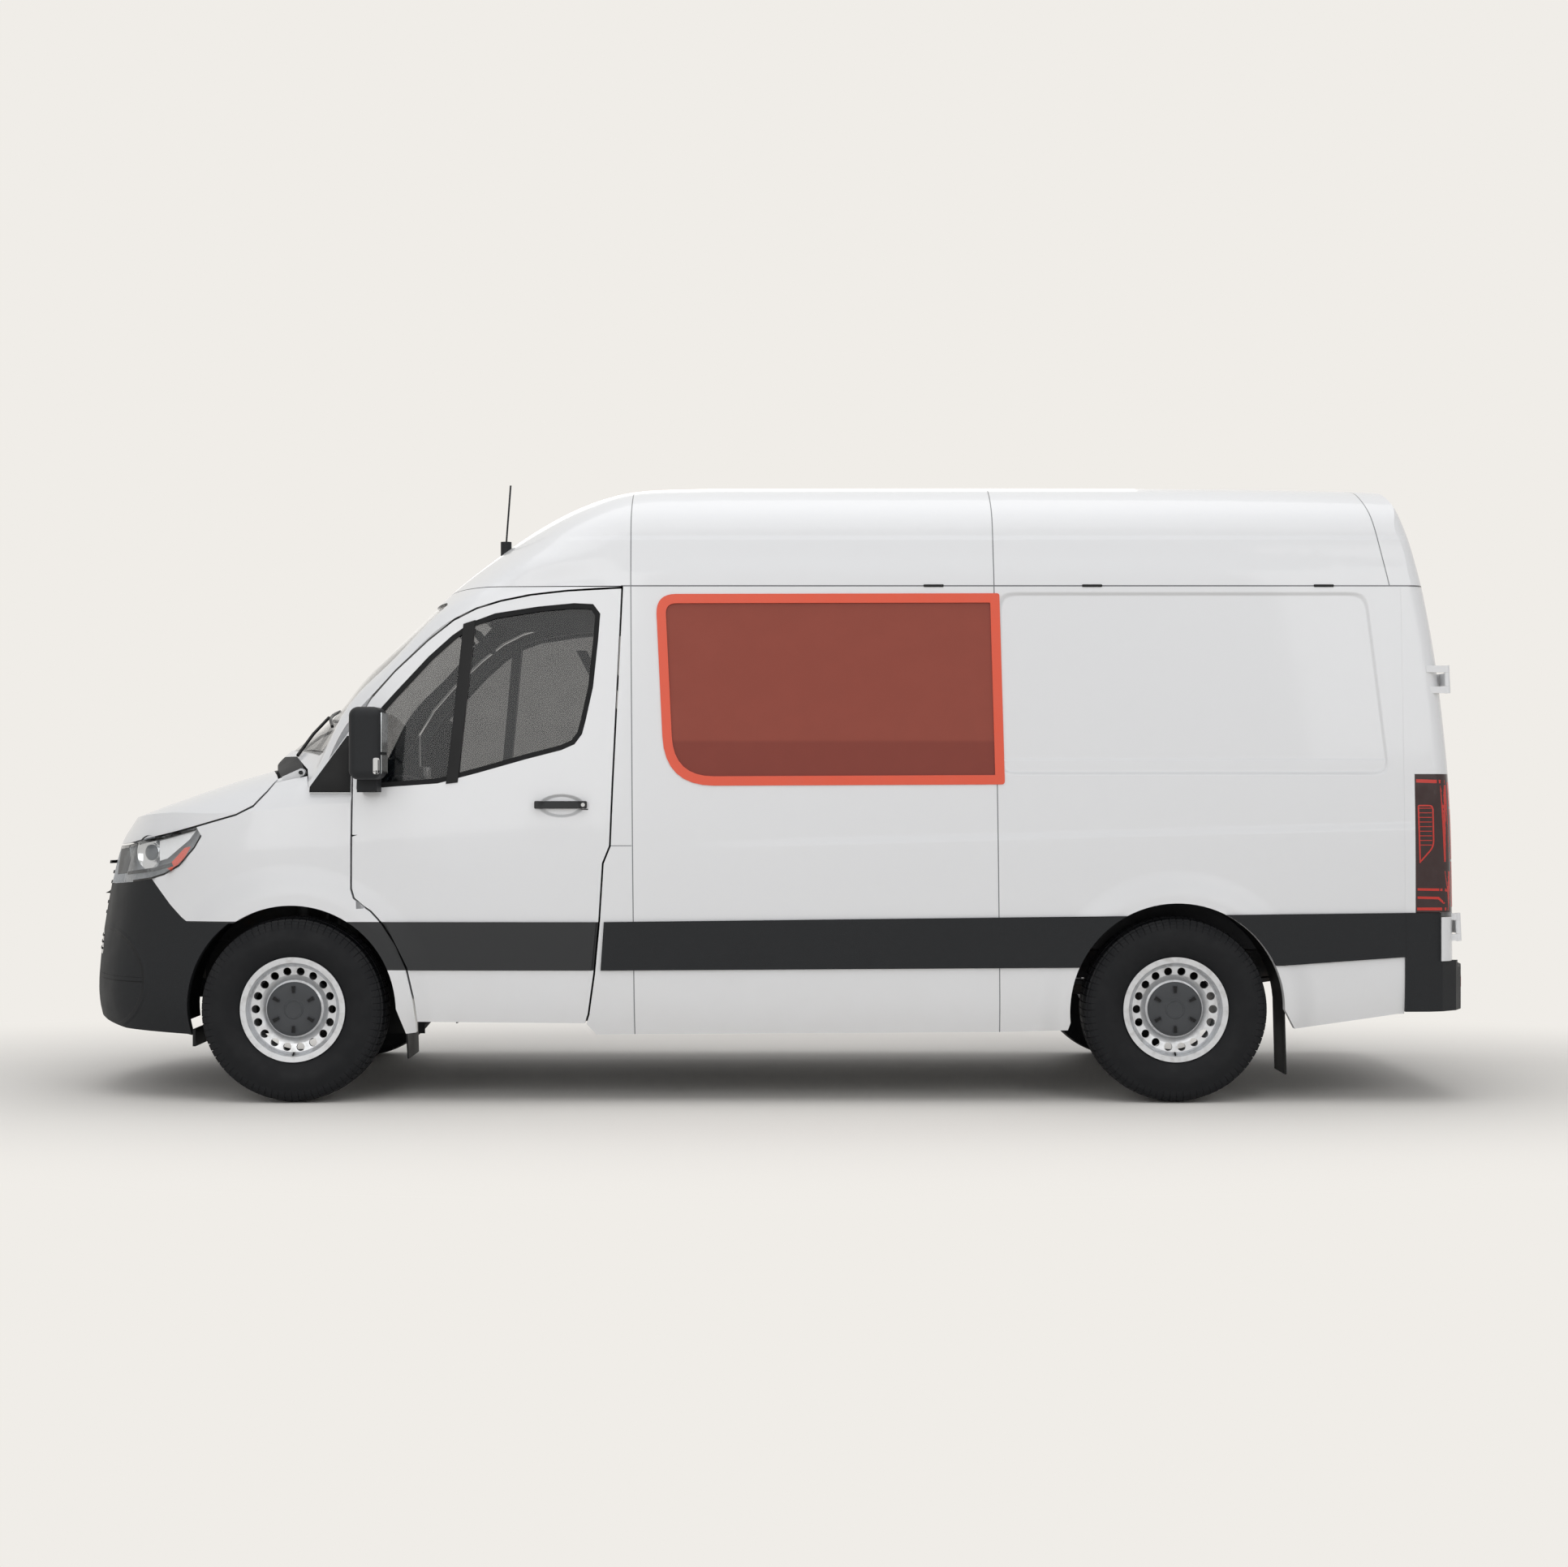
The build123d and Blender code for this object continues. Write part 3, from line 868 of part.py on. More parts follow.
def seat(side):
    y = side * 430.0
    base = block(-1120.0, -700.0, y - 190.0, y + 190.0, floor_top + SEAT, 900.0)
    cushion = block(-1170.0, -640.0, y - 240.0, y + 240.0, 890.0, 1030.0)
    cushion = cushion.fillet(40.0, cushion.edges())
    back = prism([(-700.0, 960.0), (-590.0, 960.0), (-480.0, 1560.0), (-570.0, 1580.0)], y - 230.0,
        y + 230.0, "y")
    back = back.fillet(30.0, back.edges())
    head = block(-560.0, -460.0, y - 130.0, y + 130.0, 1590.0, 1770.0)
    head = head.fillet(35.0, head.edges())
    stalk = rod((-515.0, y - 50.0, 1540.0), (-505.0, y - 50.0, 1620.0), 8.0) + rod((-515.0, y + 50.0,
        1540.0), (-505.0, y + 50.0, 1620.0), 8.0)
    return biggest(base + cushion + back + stalk + head)[0]


dash = prism([(-1925.0, 1250.0), (-1918.0, 1316.0), (-1700.0, 1320.0), (-1560.0, 1270.0), (-1530.0,
    1200.0), (-1570.0, 1090.0), (-1640.0, 1000.0),
              (-1735.0, 1000.0)], -840.0, 840.0, "y")
WHEEL_CENTRE = Vector(-1372.0, -430.0, 1236.0)
COLUMN = Vector(0.50, 0, 0.866)
column_start = WHEEL_CENTRE - COLUMN * 440.0
dash = dash + rod(tuple(column_start), tuple(WHEEL_CENTRE - COLUMN * (56.0 + RUNNING)), 32.0)
dash = dash + prism([(-1600.0, 1225.0), (-1600.0, 1110.0), (-1500.0, 1060.0), (-1435.0, 1110.0), (-1420.0,
    1150.0), (-1480.0, 1215.0)],
                    WHEEL_CENTRE.Y - 55.0, WHEEL_CENTRE.Y + 55.0, "y")
dash = biggest(dash - screen_frame)[0]
hoop = [(WHEEL_CENTRE + Vector(0, 192.0 + 15.0 * cos(pi * k / 6),
    0) + COLUMN * (15.0 * sin(pi * k / 6))) for k in range(12)]
steering_wheel = Solid.revolve(Face(Wire.make_polygon(hoop, close=True)), 360.0, Axis(WHEEL_CENTRE, COLUMN))
hub = rod(tuple(WHEEL_CENTRE - COLUMN * 56.0), tuple(WHEEL_CENTRE - COLUMN * 4.0), 62.0)
steering_wheel = steering_wheel + hub
for angle in (0.0, 180.0, 90.0):
    across = Vector(0, 1, 0) * cos(radians(angle)) + COLUMN.cross(Vector(0, 1,
        0)) * sin(radians(angle)) * -1
    steering_wheel = steering_wheel + rod(tuple(WHEEL_CENTRE - COLUMN * 26.0),
        tuple(WHEEL_CENTRE + across * 188.0 - COLUMN * 2.0), 12.0)
steering_wheel = biggest(steering_wheel)[0]

engine = block(-2500.0, -1900.0, -270.0, 270.0, 500.0 + SEAT, 1040.0)
prop_shaft = rod((-1896.0, 0.0, 516.0), (REAR_AXLE_X - 134.0, 0.0, 396.0), 34.0)
prop_shaft = biggest(prop_shaft - Solid.make_sphere(140.0 + SEAT, Plane((REAR_AXLE_X, 0, WHEEL_Z)), -90,
    90, 360).solids()[0])[0]
fuel_tank = block(-900.0, -60.0, -890.0, -RAIL_Y - RAIL_WIDTH / 2 - SEAT, 330.0, RAIL_TOP_Z - 42.0)
fuel_tank = fuel_tank.fillet(30.0, fuel_tank.edges().filter_by(Axis.X))
exhaust = rod((-1890.0, 300.0, 466.0), (2700.0, 300.0, 466.0), 27.0) + rod((250.0, 300.0, 466.0), (950.0,
    300.0, 466.0), 84.0)
exhaust = exhaust + block(-1920.0, -1870.0, 262.0, 340.0, 430.0, 560.0)
for x in (CROSS_X[0], CROSS_X[3], CROSS_X[4]):
    exhaust = exhaust + block(x - 10.0, x + 10.0, 290.0, 310.0, 480.0, RAIL_TOP_Z - 40.0 - SEAT)
exhaust = biggest(exhaust - engine)[0]
antenna_z = 2390.0
antenna = rod((-1150.0, -300.0, antenna_z - 110.0), (-1150.0, -300.0, antenna_z), 24.0) - roof_cover(-SEAT)
antenna = biggest(antenna)[0] + rod((-1150.0, -300.0, antenna_z - 14.0), (-1130.0, -300.0, 2640.0), 4.0)
antenna = biggest(antenna)[0]

# Nodes ---------------------------------------------------------------------------------------------
node("side_panel_left", left_panel)
node("side_panel_right", right_panel)
node("sliding_door", sliding_door)
node("roof", roof)
node("windscreen_frame", screen_frame)
node("corner_posts", *corner_post, *[other_side(c) for c in corner_post])
node("fenders", fender, other_side(fender))
node("bonnet", biggest(bonnet_half + other_side(bonnet_half))[0])
node("headlights", headlight, other_side(headlight))
node("grille_and_cowl", biggest(grille_half + other_side(grille_half))[0], cowl)
node("windscreen", windscreen)
node("side_windows", side_window, other_side(side_window))
node("tail_lamps", tail_lamp, other_side(tail_lamp))
node("rub_bands", *bands, *[other_side(b) for b in bands])
node("bumpers", front_bumper, biggest(rear_bumper_half + other_side(rear_bumper_half))[0])
node("floor", floor)
node("wheel_liners", front_liner, other_side(front_liner), rear_liner, other_side(rear_liner))
node("chassis", chassis, *strut_towers)
node("rear_axle", axle)
node("engine", engine)
node("prop_shaft", prop_shaft)
node("fuel_tank", fuel_tank)
node("exhaust", exhaust)
node("antenna", antenna)
node("dashboard", dash)
node("seats", seat(-1), seat(1))
node("steering_wheel", steering_wheel)
node("front_door_left", front_door)
node("front_door_right", other_side(front_door))
node("door_glass_left", *door_glass)
node("door_glass_right", *[other_side(g) for g in door_glass])
node("mirror_left", mirror)
node("mirror_right", other_side(mirror))
node("rear_door_left", rear_door)
node("rear_door_right", other_side(rear_door))
node("knuckle_left", knuckle(-1))
node("knuckle_right", knuckle(1))
for label, x in (("front", FRONT_AXLE_X), ("rear", REAR_AXLE_X)):
    for hand, side in (("left", -1), ("right", 1)):
        node("tyre_" + label + "_" + hand, tyre(x, side))
        node("rim_" + label + "_" + hand, rim(x, side))
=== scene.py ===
import bpy, bmesh, json, math
from mathutils import Matrix, Vector
from mathutils.bvhtree import BVHTree


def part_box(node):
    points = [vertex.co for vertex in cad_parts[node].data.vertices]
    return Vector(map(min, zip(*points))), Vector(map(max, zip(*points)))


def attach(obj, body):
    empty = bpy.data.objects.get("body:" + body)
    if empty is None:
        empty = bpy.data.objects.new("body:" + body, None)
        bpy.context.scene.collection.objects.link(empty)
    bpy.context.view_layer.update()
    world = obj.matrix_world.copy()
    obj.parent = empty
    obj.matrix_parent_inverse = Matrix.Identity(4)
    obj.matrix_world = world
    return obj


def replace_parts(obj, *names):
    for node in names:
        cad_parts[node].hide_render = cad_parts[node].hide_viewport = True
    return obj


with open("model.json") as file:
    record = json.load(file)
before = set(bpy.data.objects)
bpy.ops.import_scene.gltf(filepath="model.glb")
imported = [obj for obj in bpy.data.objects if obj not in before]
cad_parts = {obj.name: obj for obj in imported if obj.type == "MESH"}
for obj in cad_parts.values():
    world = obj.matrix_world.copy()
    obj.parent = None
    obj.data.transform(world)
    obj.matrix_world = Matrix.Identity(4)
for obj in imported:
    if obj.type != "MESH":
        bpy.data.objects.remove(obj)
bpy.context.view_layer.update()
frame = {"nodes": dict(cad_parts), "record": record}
cad = frame["nodes"]
sides = {"left": -1, "right": 1}
print("frame loaded")


# colours, nodes and materials

def linear(code):
    parts = [int(code[i:i + 2], 16) / 255 for i in (1, 3, 5)]
    return [c / 12.92 if c <= 0.04045 else ((c + 0.055) / 1.055) ** 2.4 for c in parts] + [1.0]


def addNode(tree, kind, inputs=(), out=0, **settings):
    # a shader node with its settings and links; gives one of its outputs
    made = tree.nodes.new("ShaderNode" + kind)
    for name, value in settings.items():
        setattr(made, name, value)
    for name, value in inputs.items() if isinstance(inputs, dict) else enumerate(inputs):
        if isinstance(value, bpy.types.NodeSocket):
            tree.links.new(value, made.inputs[name])
        else:
            made.inputs[name].default_value = value
    return made.outputs[out]


def startMaterial(name):
    material = bpy.data.materials.new(name)
    material.use_nodes = True
    tree = material.node_tree
    coords = addNode(tree, "TexCoord", out="Object")
    return material, tree, tree.nodes["Principled BSDF"], coords


def setShader(shader, **values):
    for name, value in values.items():
        shader.inputs[name.replace("_", " ")].default_value = value


def radiusOf(tree, across, up):
    # how far a place is from an axis
    squares = [addNode(tree, "Math", [v, v], operation="MULTIPLY") for v in (across, up)]
    return addNode(tree, "Math", [addNode(tree, "Math", squares, operation="ADD")], operation="SQRT")


# Two-coat white body enamel over pressed steel: clear top layer, faint orange peel,
# pressed creases and recesses, and thin joints where panels meet.
paint = {
    "white": "#E2E3E5", "joint": "#75777B", "lining": "#34363A", "wallLining": "#CFCBC3",
    "peel": 0.004, "jointHalf": 0.0021,
    "bSeam": -0.552, "slideSeam": 0.958, "gutter": 2.146, "roofCrease": 2.350,
    "wheelFront": -1.962, "wheelRear": 1.703, "hubHeight": 0.385,
    "band": (0.552, 0.752), "black": "#1C1E21", "handle": (-0.845, 0.113, 1.236, 0.021, 0.9905),
    "recess": [0.974, 2.575, 1.366, 2.112],
}


def makePaint(name, lining, skirt=False):
    material, tree, shader, coords = startMaterial(name)
    p = paint
    xyz = addNode(tree, "SeparateXYZ", [coords]).node.outputs
    x, y, z = xyz[0], xyz[1], xyz[2]
    width = addNode(tree, "Math", [y], operation="ABSOLUTE")
    leftOnly = addNode(tree, "Math", [y, 0.0], operation="LESS_THAN")
    aboveGutter = addNode(tree, "Math", [z, p["gutter"]], operation="GREATER_THAN")

    def line(value, half):
        return addNode(tree, "Math", [addNode(tree, "Math", [value], operation="ABSOLUTE"), half],
            operation="LESS_THAN")

    lean = addNode(tree, "Math", [addNode(tree, "Math", [z, 1.4], operation="SUBTRACT"), -0.0105],
        operation="MULTIPLY")
    joints = []
    shown = addNode(tree, "Math", [leftOnly, aboveGutter], operation="MAXIMUM")
    for seam in (p["bSeam"], p["slideSeam"]):
        away = addNode(tree, "Math", [addNode(tree, "Math", [x, seam], operation="SUBTRACT"), lean],
            operation="SUBTRACT")
        joints.append(addNode(tree, "Math", [line(away, p["jointHalf"]), shown], operation="MULTIPLY"))
    cornerLean = addNode(tree, "Math", [addNode(tree, "Math", [z, 2.146], operation="SUBTRACT"), -0.20],
        operation="MULTIPLY")
    corner = addNode(tree, "Math", [addNode(tree, "Math", [x, 2.594], operation="SUBTRACT"), cornerLean],
        operation="SUBTRACT")
    joints.append(
        addNode(tree, "Math", [line(corner, p["jointHalf"]), aboveGutter], operation="MULTIPLY"))
    flap = addNode(tree, "Math",
        [line(addNode(tree, "Math", [z, 1.067], operation="SUBTRACT"), 0.0016), leftOnly],
        operation="MULTIPLY")
    flap = addNode(tree, "Math",
        [flap,
            addNode(tree, "Math",
                [
                    addNode(tree, "Math", [addNode(tree, "Math", [x, -0.598], operation="SUBTRACT")],
                        operation="ABSOLUTE"), 0.046], operation="LESS_THAN")], operation="MULTIPLY")
    joints.append(flap)
    aft = addNode(tree, "Math", [x, -0.60], operation="GREATER_THAN")
    joints.append(
        addNode(tree, "Math",
            [line(addNode(tree, "Math", [z, p["gutter"]], operation="SUBTRACT"), 0.0028), aft],
            operation="MULTIPLY"))
    joint = joints[0]
    for other in joints[1:]:
        joint = addNode(tree, "Math", [joint, other], operation="MAXIMUM")

    # pressed shapes, in metres of height
    waist = addNode(tree, "Math", [x, 0.027, 1.078], operation="MULTIPLY_ADD")
    shoulder = addNode(tree, "MapRange",
        [addNode(tree, "Math", [z, waist], operation="SUBTRACT"), -0.020, 0.020, 0.011, 0.0],
        interpolation_type="SMOOTHSTEP")
    height = addNode(tree, "Math",
        [shoulder, addNode(tree, "MapRange", [x, -0.45, 0.50], interpolation_type="SMOOTHSTEP")],
        operation="MULTIPLY")
    for wheel, reach, start in ((p["wheelFront"], 0.610, 0.470), (p["wheelRear"], 0.585, 0.470)):
        dx = addNode(tree, "Math", [x, wheel], operation="SUBTRACT")
        dz = addNode(tree, "Math", [z, p["hubHeight"]], operation="SUBTRACT")
        radius = radiusOf(tree, dx, dz)
        height = addNode(tree, "Math",
            [height,
                addNode(tree, "MapRange", [radius, start, reach, 0.028, 0.0],
                    interpolation_type="SMOOTHSTEP")], operation="ADD")
    low, high, bottom, top = p["recess"]
    slant = addNode(tree, "Math", [addNode(tree, "Math", [z, bottom], operation="SUBTRACT"), -0.11, high],
        operation="MULTIPLY_ADD")
    edges = [addNode(tree, "Math", [low, x], operation="SUBTRACT"),
        addNode(tree, "Math", [x, slant], operation="SUBTRACT"),
        addNode(tree, "Math", [bottom, z], operation="SUBTRACT"),
        addNode(tree, "Math", [z, top], operation="SUBTRACT")]
    box = edges[0]
    for edge in edges[1:]:
        box = addNode(tree, "Math", [box, edge, 0.09], operation="SMOOTH_MAX")
    height = addNode(tree, "Math",
        [height,
            addNode(tree, "MapRange", [box, -0.010, 0.010, -0.011, 0.0],
                interpolation_type="SMOOTHSTEP")], operation="ADD")
    ledge = addNode(tree, "MapRange",
        [addNode(tree, "Math", [z, 1.423], operation="SUBTRACT"), -0.007, 0.007, 0.006, 0.0],
        interpolation_type="SMOOTHSTEP")
    height = addNode(tree, "Math",
        [height,
            addNode(tree, "Math", [ledge, addNode(tree, "Math", [box, 0.0], operation="LESS_THAN")],
                operation="MULTIPLY")], operation="ADD")
    roofLine = addNode(tree, "MapRange",
        [addNode(tree, "Math", [z, p["roofCrease"]], operation="SUBTRACT"), -0.012, 0.012, 0.007, 0.0],
        interpolation_type="SMOOTHSTEP")
    height = addNode(tree, "Math",
        [height,
            addNode(tree, "Math",
                [roofLine, addNode(tree, "MapRange", [x, -1.05, -0.60], interpolation_type="SMOOTHSTEP")],
                operation="MULTIPLY")], operation="ADD")
    # cup behind the door handle
    hx = addNode(tree, "Math", [addNode(tree, "Math", [x, -0.842], operation="SUBTRACT"), 0.098],
        operation="DIVIDE")
    hz = addNode(tree, "Math", [addNode(tree, "Math", [z, 1.232], operation="SUBTRACT"), 0.050],
        operation="DIVIDE")
    cup = radiusOf(tree, hx, hz)
    height = addNode(tree, "Math",
        [height,
            addNode(tree, "MapRange", [cup, 0.70, 1.0, -0.012, 0.0], interpolation_type="SMOOTHSTEP")],
        operation="ADD")
    height = addNode(tree, "Math", [height, addNode(tree, "Math", [joint, -0.003], operation="MULTIPLY")],
        operation="ADD")
    peel = addNode(tree, "TexNoise", {"Vector": coords, "Scale": 1.0 / p["peel"], "Detail": 2.0})
    height = addNode(tree, "Math", [height, addNode(tree, "Math", [peel, 0.00003], operation="MULTIPLY")],
        operation="ADD")
    tree.links.new(addNode(tree, "Bump", {"Height": height, "Distance": 1.0}), shader.inputs["Normal"])

    # linings face the middle of the van
    normal = tree.nodes["Texture Coordinate"].outputs["Normal"]
    outward = addNode(tree, "CombineXYZ",
        {1: y, 2: addNode(tree, "Math", [z, 1.5], operation="SUBTRACT")})
    facing = addNode(tree, "VectorMath", [normal, outward], out="Value", operation="DOT_PRODUCT")
    inside = addNode(tree, "Math", [facing, -0.12], operation="LESS_THAN")
    dust = addNode(tree, "Math",
        [addNode(tree, "MapRange", [z, 0.75, 0.28], interpolation_type="SMOOTHSTEP"),
            addNode(tree, "TexNoise", {"Vector": coords, "Scale": 1.0 / 0.16, "Detail": 5.0})],
        operation="MULTIPLY")
    colour = addNode(tree, "Mix",
        {0: addNode(tree, "Math", [dust, 0.16], operation="MULTIPLY"), 6: linear(p["white"]),
            7: linear("#B9B4AA")}, 2, data_type="RGBA")
    colour = addNode(tree, "Mix", {0: joint, 6: colour, 7: linear(p["joint"])}, 2, data_type="RGBA")
    if lining:
        cab = addNode(tree, "Math", [x, -0.50], operation="LESS_THAN")
        trim = addNode(tree, "Mix", {0: cab, 6: linear(p["wallLining"]), 7: linear(p["lining"])}, 2,
            data_type="RGBA")
        colour = addNode(tree, "Mix", {0: inside, 6: colour, 7: trim}, 2, data_type="RGBA")
        tree.links.new(
            addNode(tree, "MapRange", [inside, 0.0, 1.0, 0.34, 0.85], interpolation_type="SMOOTHSTEP"),
            shader.inputs["Roughness"])
    else:
        shader.inputs["Roughness"].default_value = 0.34
    setShader(shader, IOR=1.5, Coat_Weight=0.55, Coat_Roughness=0.06)
    if skirt:
        # unpainted black plastic: the band, all of the skirt ahead of the wheel, and the handle
        low, high = p["band"]
        ahead = addNode(tree, "Math", [x, -1.90], operation="LESS_THAN")
        below = addNode(tree, "Math",
            [addNode(tree, "Math", [z, high], operation="LESS_THAN"),
                addNode(tree, "Math", [ahead, addNode(tree, "Math", [z, low], operation="GREATER_THAN")],
                    operation="MAXIMUM")], operation="MULTIPLY")
        cx, halfX, cz, halfZ, out = p["handle"]
        grip = addNode(tree, "Math",
            [line(addNode(tree, "Math", [x, cx], operation="SUBTRACT"), halfX),
                line(addNode(tree, "Math", [z, cz], operation="SUBTRACT"), halfZ)], operation="MULTIPLY")
        below = addNode(tree, "Math",
            [below,
                addNode(tree, "Math",
                    [grip, addNode(tree, "Math", [width, out], operation="GREATER_THAN")],
                    operation="MULTIPLY")], operation="MAXIMUM")
        colour = addNode(tree, "Mix", {0: below, 6: colour, 7: linear(p["black"])}, 2, data_type="RGBA")
        tree.links.new(
            addNode(tree, "MapRange", [below, 0.0, 1.0, 0.55, 0.0], interpolation_type="SMOOTHSTEP"),
            shader.inputs["Coat Weight"])
        tree.links.new(
            addNode(tree, "MapRange", [below, 0.0, 1.0, 0.34, 0.58], interpolation_type="SMOOTHSTEP"),
            shader.inputs["Roughness"])
    tree.links.new(colour, shader.inputs["Base Color"])
    return material


# Moulded polypropylene: dull, with a fine leather-like grain
def makePlastic(name, colour, roughness=0.58, grain=0.0035, depth=0.00025, worn=0.10):
    material, tree, shader, coords = startMaterial(name)
    cells = addNode(tree, "TexVoronoi", {"Vector": coords, "Scale": 1.0 / grain})
    cloud = addNode(tree, "TexNoise", {"Vector": coords, "Scale": 1.0 / 0.22, "Detail": 4.0})
    tint = addNode(tree, "Mix",
        {0: addNode(tree, "Math", [cloud, worn], operation="MULTIPLY"), 6: linear(colour),
            7: linear("#6A6B6C")}, 2, data_type="RGBA")
    tree.links.new(tint, shader.inputs["Base Color"])
    tree.links.new(
        addNode(tree, "MapRange", [cloud, 0.3, 0.7, roughness - 0.05, roughness + 0.06],
            interpolation_type="SMOOTHSTEP"), shader.inputs["Roughness"])
    tree.links.new(addNode(tree, "Bump", {"Height": cells, "Distance": depth}), shader.inputs["Normal"])
    setShader(shader, IOR=1.49, Specular_IOR_Level=0.25)
    return material


# Front and rear bumpers: the same plastic with a pocket pressed into each front corner
pocket = {"at": (-2.830, 0.500), "half": (0.228, 0.213), "lip": (0.503, 0.012), "outer": 0.50}


def makeBumper(name, colour):
    material = makePlastic(name, colour, worn=0.06)
    tree = material.node_tree
    bump = tree.nodes["Bump"]
    coords = tree.nodes["Texture Coordinate"].outputs["Object"]
    xyz = addNode(tree, "SeparateXYZ", [coords]).node.outputs
    p = pocket
    dx = addNode(tree, "Math",
        [
            addNode(tree, "Math",
                [addNode(tree, "Math", [xyz[0], p["at"][0]], operation="SUBTRACT"), 0.0],
                operation="MAXIMUM"), p["half"][0]], operation="DIVIDE")
    dz = addNode(tree, "Math",
        [addNode(tree, "Math", [xyz[2], p["at"][1]], operation="SUBTRACT"), p["half"][1]],
        operation="DIVIDE")
    ring = radiusOf(tree, dx, dz)
    front = addNode(tree, "Math",
        [addNode(tree, "Math", [xyz[0], -2.5], operation="LESS_THAN"),
            addNode(tree, "Math", [addNode(tree, "Math", [xyz[1]], operation="ABSOLUTE"), p["outer"]],
                operation="GREATER_THAN")], operation="MULTIPLY")
    sunk = addNode(tree, "MapRange", [ring, 0.95, 1.02, -0.010, 0.0], interpolation_type="SMOOTHSTEP")
    rim = addNode(tree, "Math",
        [addNode(tree, "MapRange", [ring, 0.99, 1.03], interpolation_type="SMOOTHSTEP"),
            addNode(tree, "MapRange", [ring, 1.09, 1.03], interpolation_type="SMOOTHSTEP")],
        operation="MULTIPLY")
    lip = addNode(tree, "MapRange",
        [
            addNode(tree, "Math", [addNode(tree, "Math", [xyz[2], p["lip"][0]], operation="SUBTRACT")],
                operation="ABSOLUTE"), 0.006, p["lip"][1], 0.009, 0.0], interpolation_type="SMOOTHSTEP")
    lip = addNode(tree, "Math", [lip, addNode(tree, "Math", [ring, 1.0], operation="LESS_THAN")],
        operation="MULTIPLY")
    height = addNode(tree, "Math",
        [
            addNode(tree, "Math", [sunk, addNode(tree, "Math", [rim, 0.004], operation="MULTIPLY")],
                operation="ADD"), lip], operation="ADD")
    pressed = addNode(tree, "Bump",
        {"Height": addNode(tree, "Math", [height, front], operation="MULTIPLY"), "Distance": 1.0})
    tree.links.new(pressed, bump.inputs["Normal"])
    return material


# Polished or painted smooth plastic and coloured lenses
def makeGloss(name, colour, roughness=0.12, clear=0.0, ior=1.5):
    material, tree, shader, coords = startMaterial(name)
    cloud = addNode(tree, "TexNoise", {"Vector": coords, "Scale": 1.0 / 0.05, "Detail": 3.0})
    tint = addNode(tree, "Mix",
        {0: addNode(tree, "Math", [cloud, 0.08], operation="MULTIPLY"), 6: linear(colour),
            7: linear("#808080")}, 2, data_type="RGBA")
    tree.links.new(tint, shader.inputs["Base Color"])
    tree.links.new(
        addNode(tree, "MapRange", [cloud, 0.3, 0.7, roughness, roughness + 0.06],
            interpolation_type="SMOOTHSTEP"), shader.inputs["Roughness"])
    setShader(shader, IOR=ior, Transmission_Weight=clear)
    return material


# Toughened float glass with a grey-green body tint and a trace of dust
def makeGlass(name, colour, alpha, roughness=0.02, foot=None):
    material, tree, shader, coords = startMaterial(name)
    dust = addNode(tree, "TexNoise", {"Vector": coords, "Scale": 1.0 / 0.09, "Detail": 5.0})
    tree.links.new(
        addNode(tree, "MapRange", [dust, 0.35, 0.75, roughness, roughness + 0.05],
            interpolation_type="SMOOTHSTEP"), shader.inputs["Roughness"])
    tree.links.new(
        addNode(tree, "MapRange", [dust, 0.35, 0.75, alpha, alpha + 0.03],
            interpolation_type="SMOOTHSTEP"), shader.inputs["Alpha"])
    setShader(shader, Base_Color=linear(colour), IOR=1.52)
    if foot:
        # painted reflection: a darker band below a height, standing in for a dark reflection across the lower
        # part of the pane
        z = addNode(tree, "SeparateXYZ", [coords], 2)
        tint = addNode(tree, "Mix",
            {0: addNode(tree, "MapRange", [z, 1.51, 1.49], interpolation_type="SMOOTHSTEP"),
                6: linear(colour), 7: linear(foot)}, 2, data_type="RGBA")
        tree.links.new(tint, shader.inputs["Base Color"])
    return material


# Pressed steel wheel in silver baked enamel, brake dust in its hollows
def makeWheelSteel():
    material, tree, shader, coords = startMaterial("silverWheelEnamel")
    cloud = addNode(tree, "TexNoise", {"Vector": coords, "Scale": 1.0 / 0.03, "Detail": 5.0})
    tint = addNode(tree, "Mix",
        {0: addNode(tree, "MapRange", [cloud, 0.42, 0.75, 0.0, 0.35], interpolation_type="SMOOTHSTEP"),
            6: linear("#D6D8DB"), 7: linear("#96938F")}, 2, data_type="RGBA")
    tree.links.new(tint, shader.inputs["Base Color"])
    tree.links.new(
        addNode(tree, "MapRange", [cloud, 0.3, 0.7, 0.30, 0.44], interpolation_type="SMOOTHSTEP"),
        shader.inputs["Roughness"])
    tree.links.new(
        addNode(tree, "Bump",
            {"Height": addNode(tree, "TexNoise", {"Vector": coords, "Scale": 1.0 / 0.002, "Detail": 2.0}),
                "Distance": 0.00006}), shader.inputs["Normal"])
    setShader(shader, Metallic=0.55, Coat_Weight=0.3, Coat_Roughness=0.15)
    return material


# Vulcanised carbon-black tread rubber: matt, slightly blue, with moulding rings on the wall
def makeRubber(name, rings):
    material, tree, shader, coords = startMaterial(name)
    fine = addNode(tree, "TexNoise", {"Vector": coords, "Scale": 1.0 / 0.0025, "Detail": 2.0})
    cloud = addNode(tree, "TexNoise", {"Vector": coords, "Scale": 1.0 / 0.07, "Detail": 4.0})
    tint = addNode(tree, "Mix",
        {0: addNode(tree, "MapRange", [cloud, 0.4, 0.85, 0.0, 0.5], interpolation_type="SMOOTHSTEP"),
            6: linear("#0D0F13"), 7: linear("#191A1D")}, 2, data_type="RGBA")
    tree.links.new(tint, shader.inputs["Base Color"])
    tree.links.new(
        addNode(tree, "MapRange", [cloud, 0.3, 0.7, 0.55, 0.72], interpolation_type="SMOOTHSTEP"),
        shader.inputs["Roughness"])
    tree.links.new(addNode(tree, "Bump", {"Height": fine, "Distance": rings}), shader.inputs["Normal"])
    setShader(shader, IOR=1.52, Specular_IOR_Level=0.25)
    return material


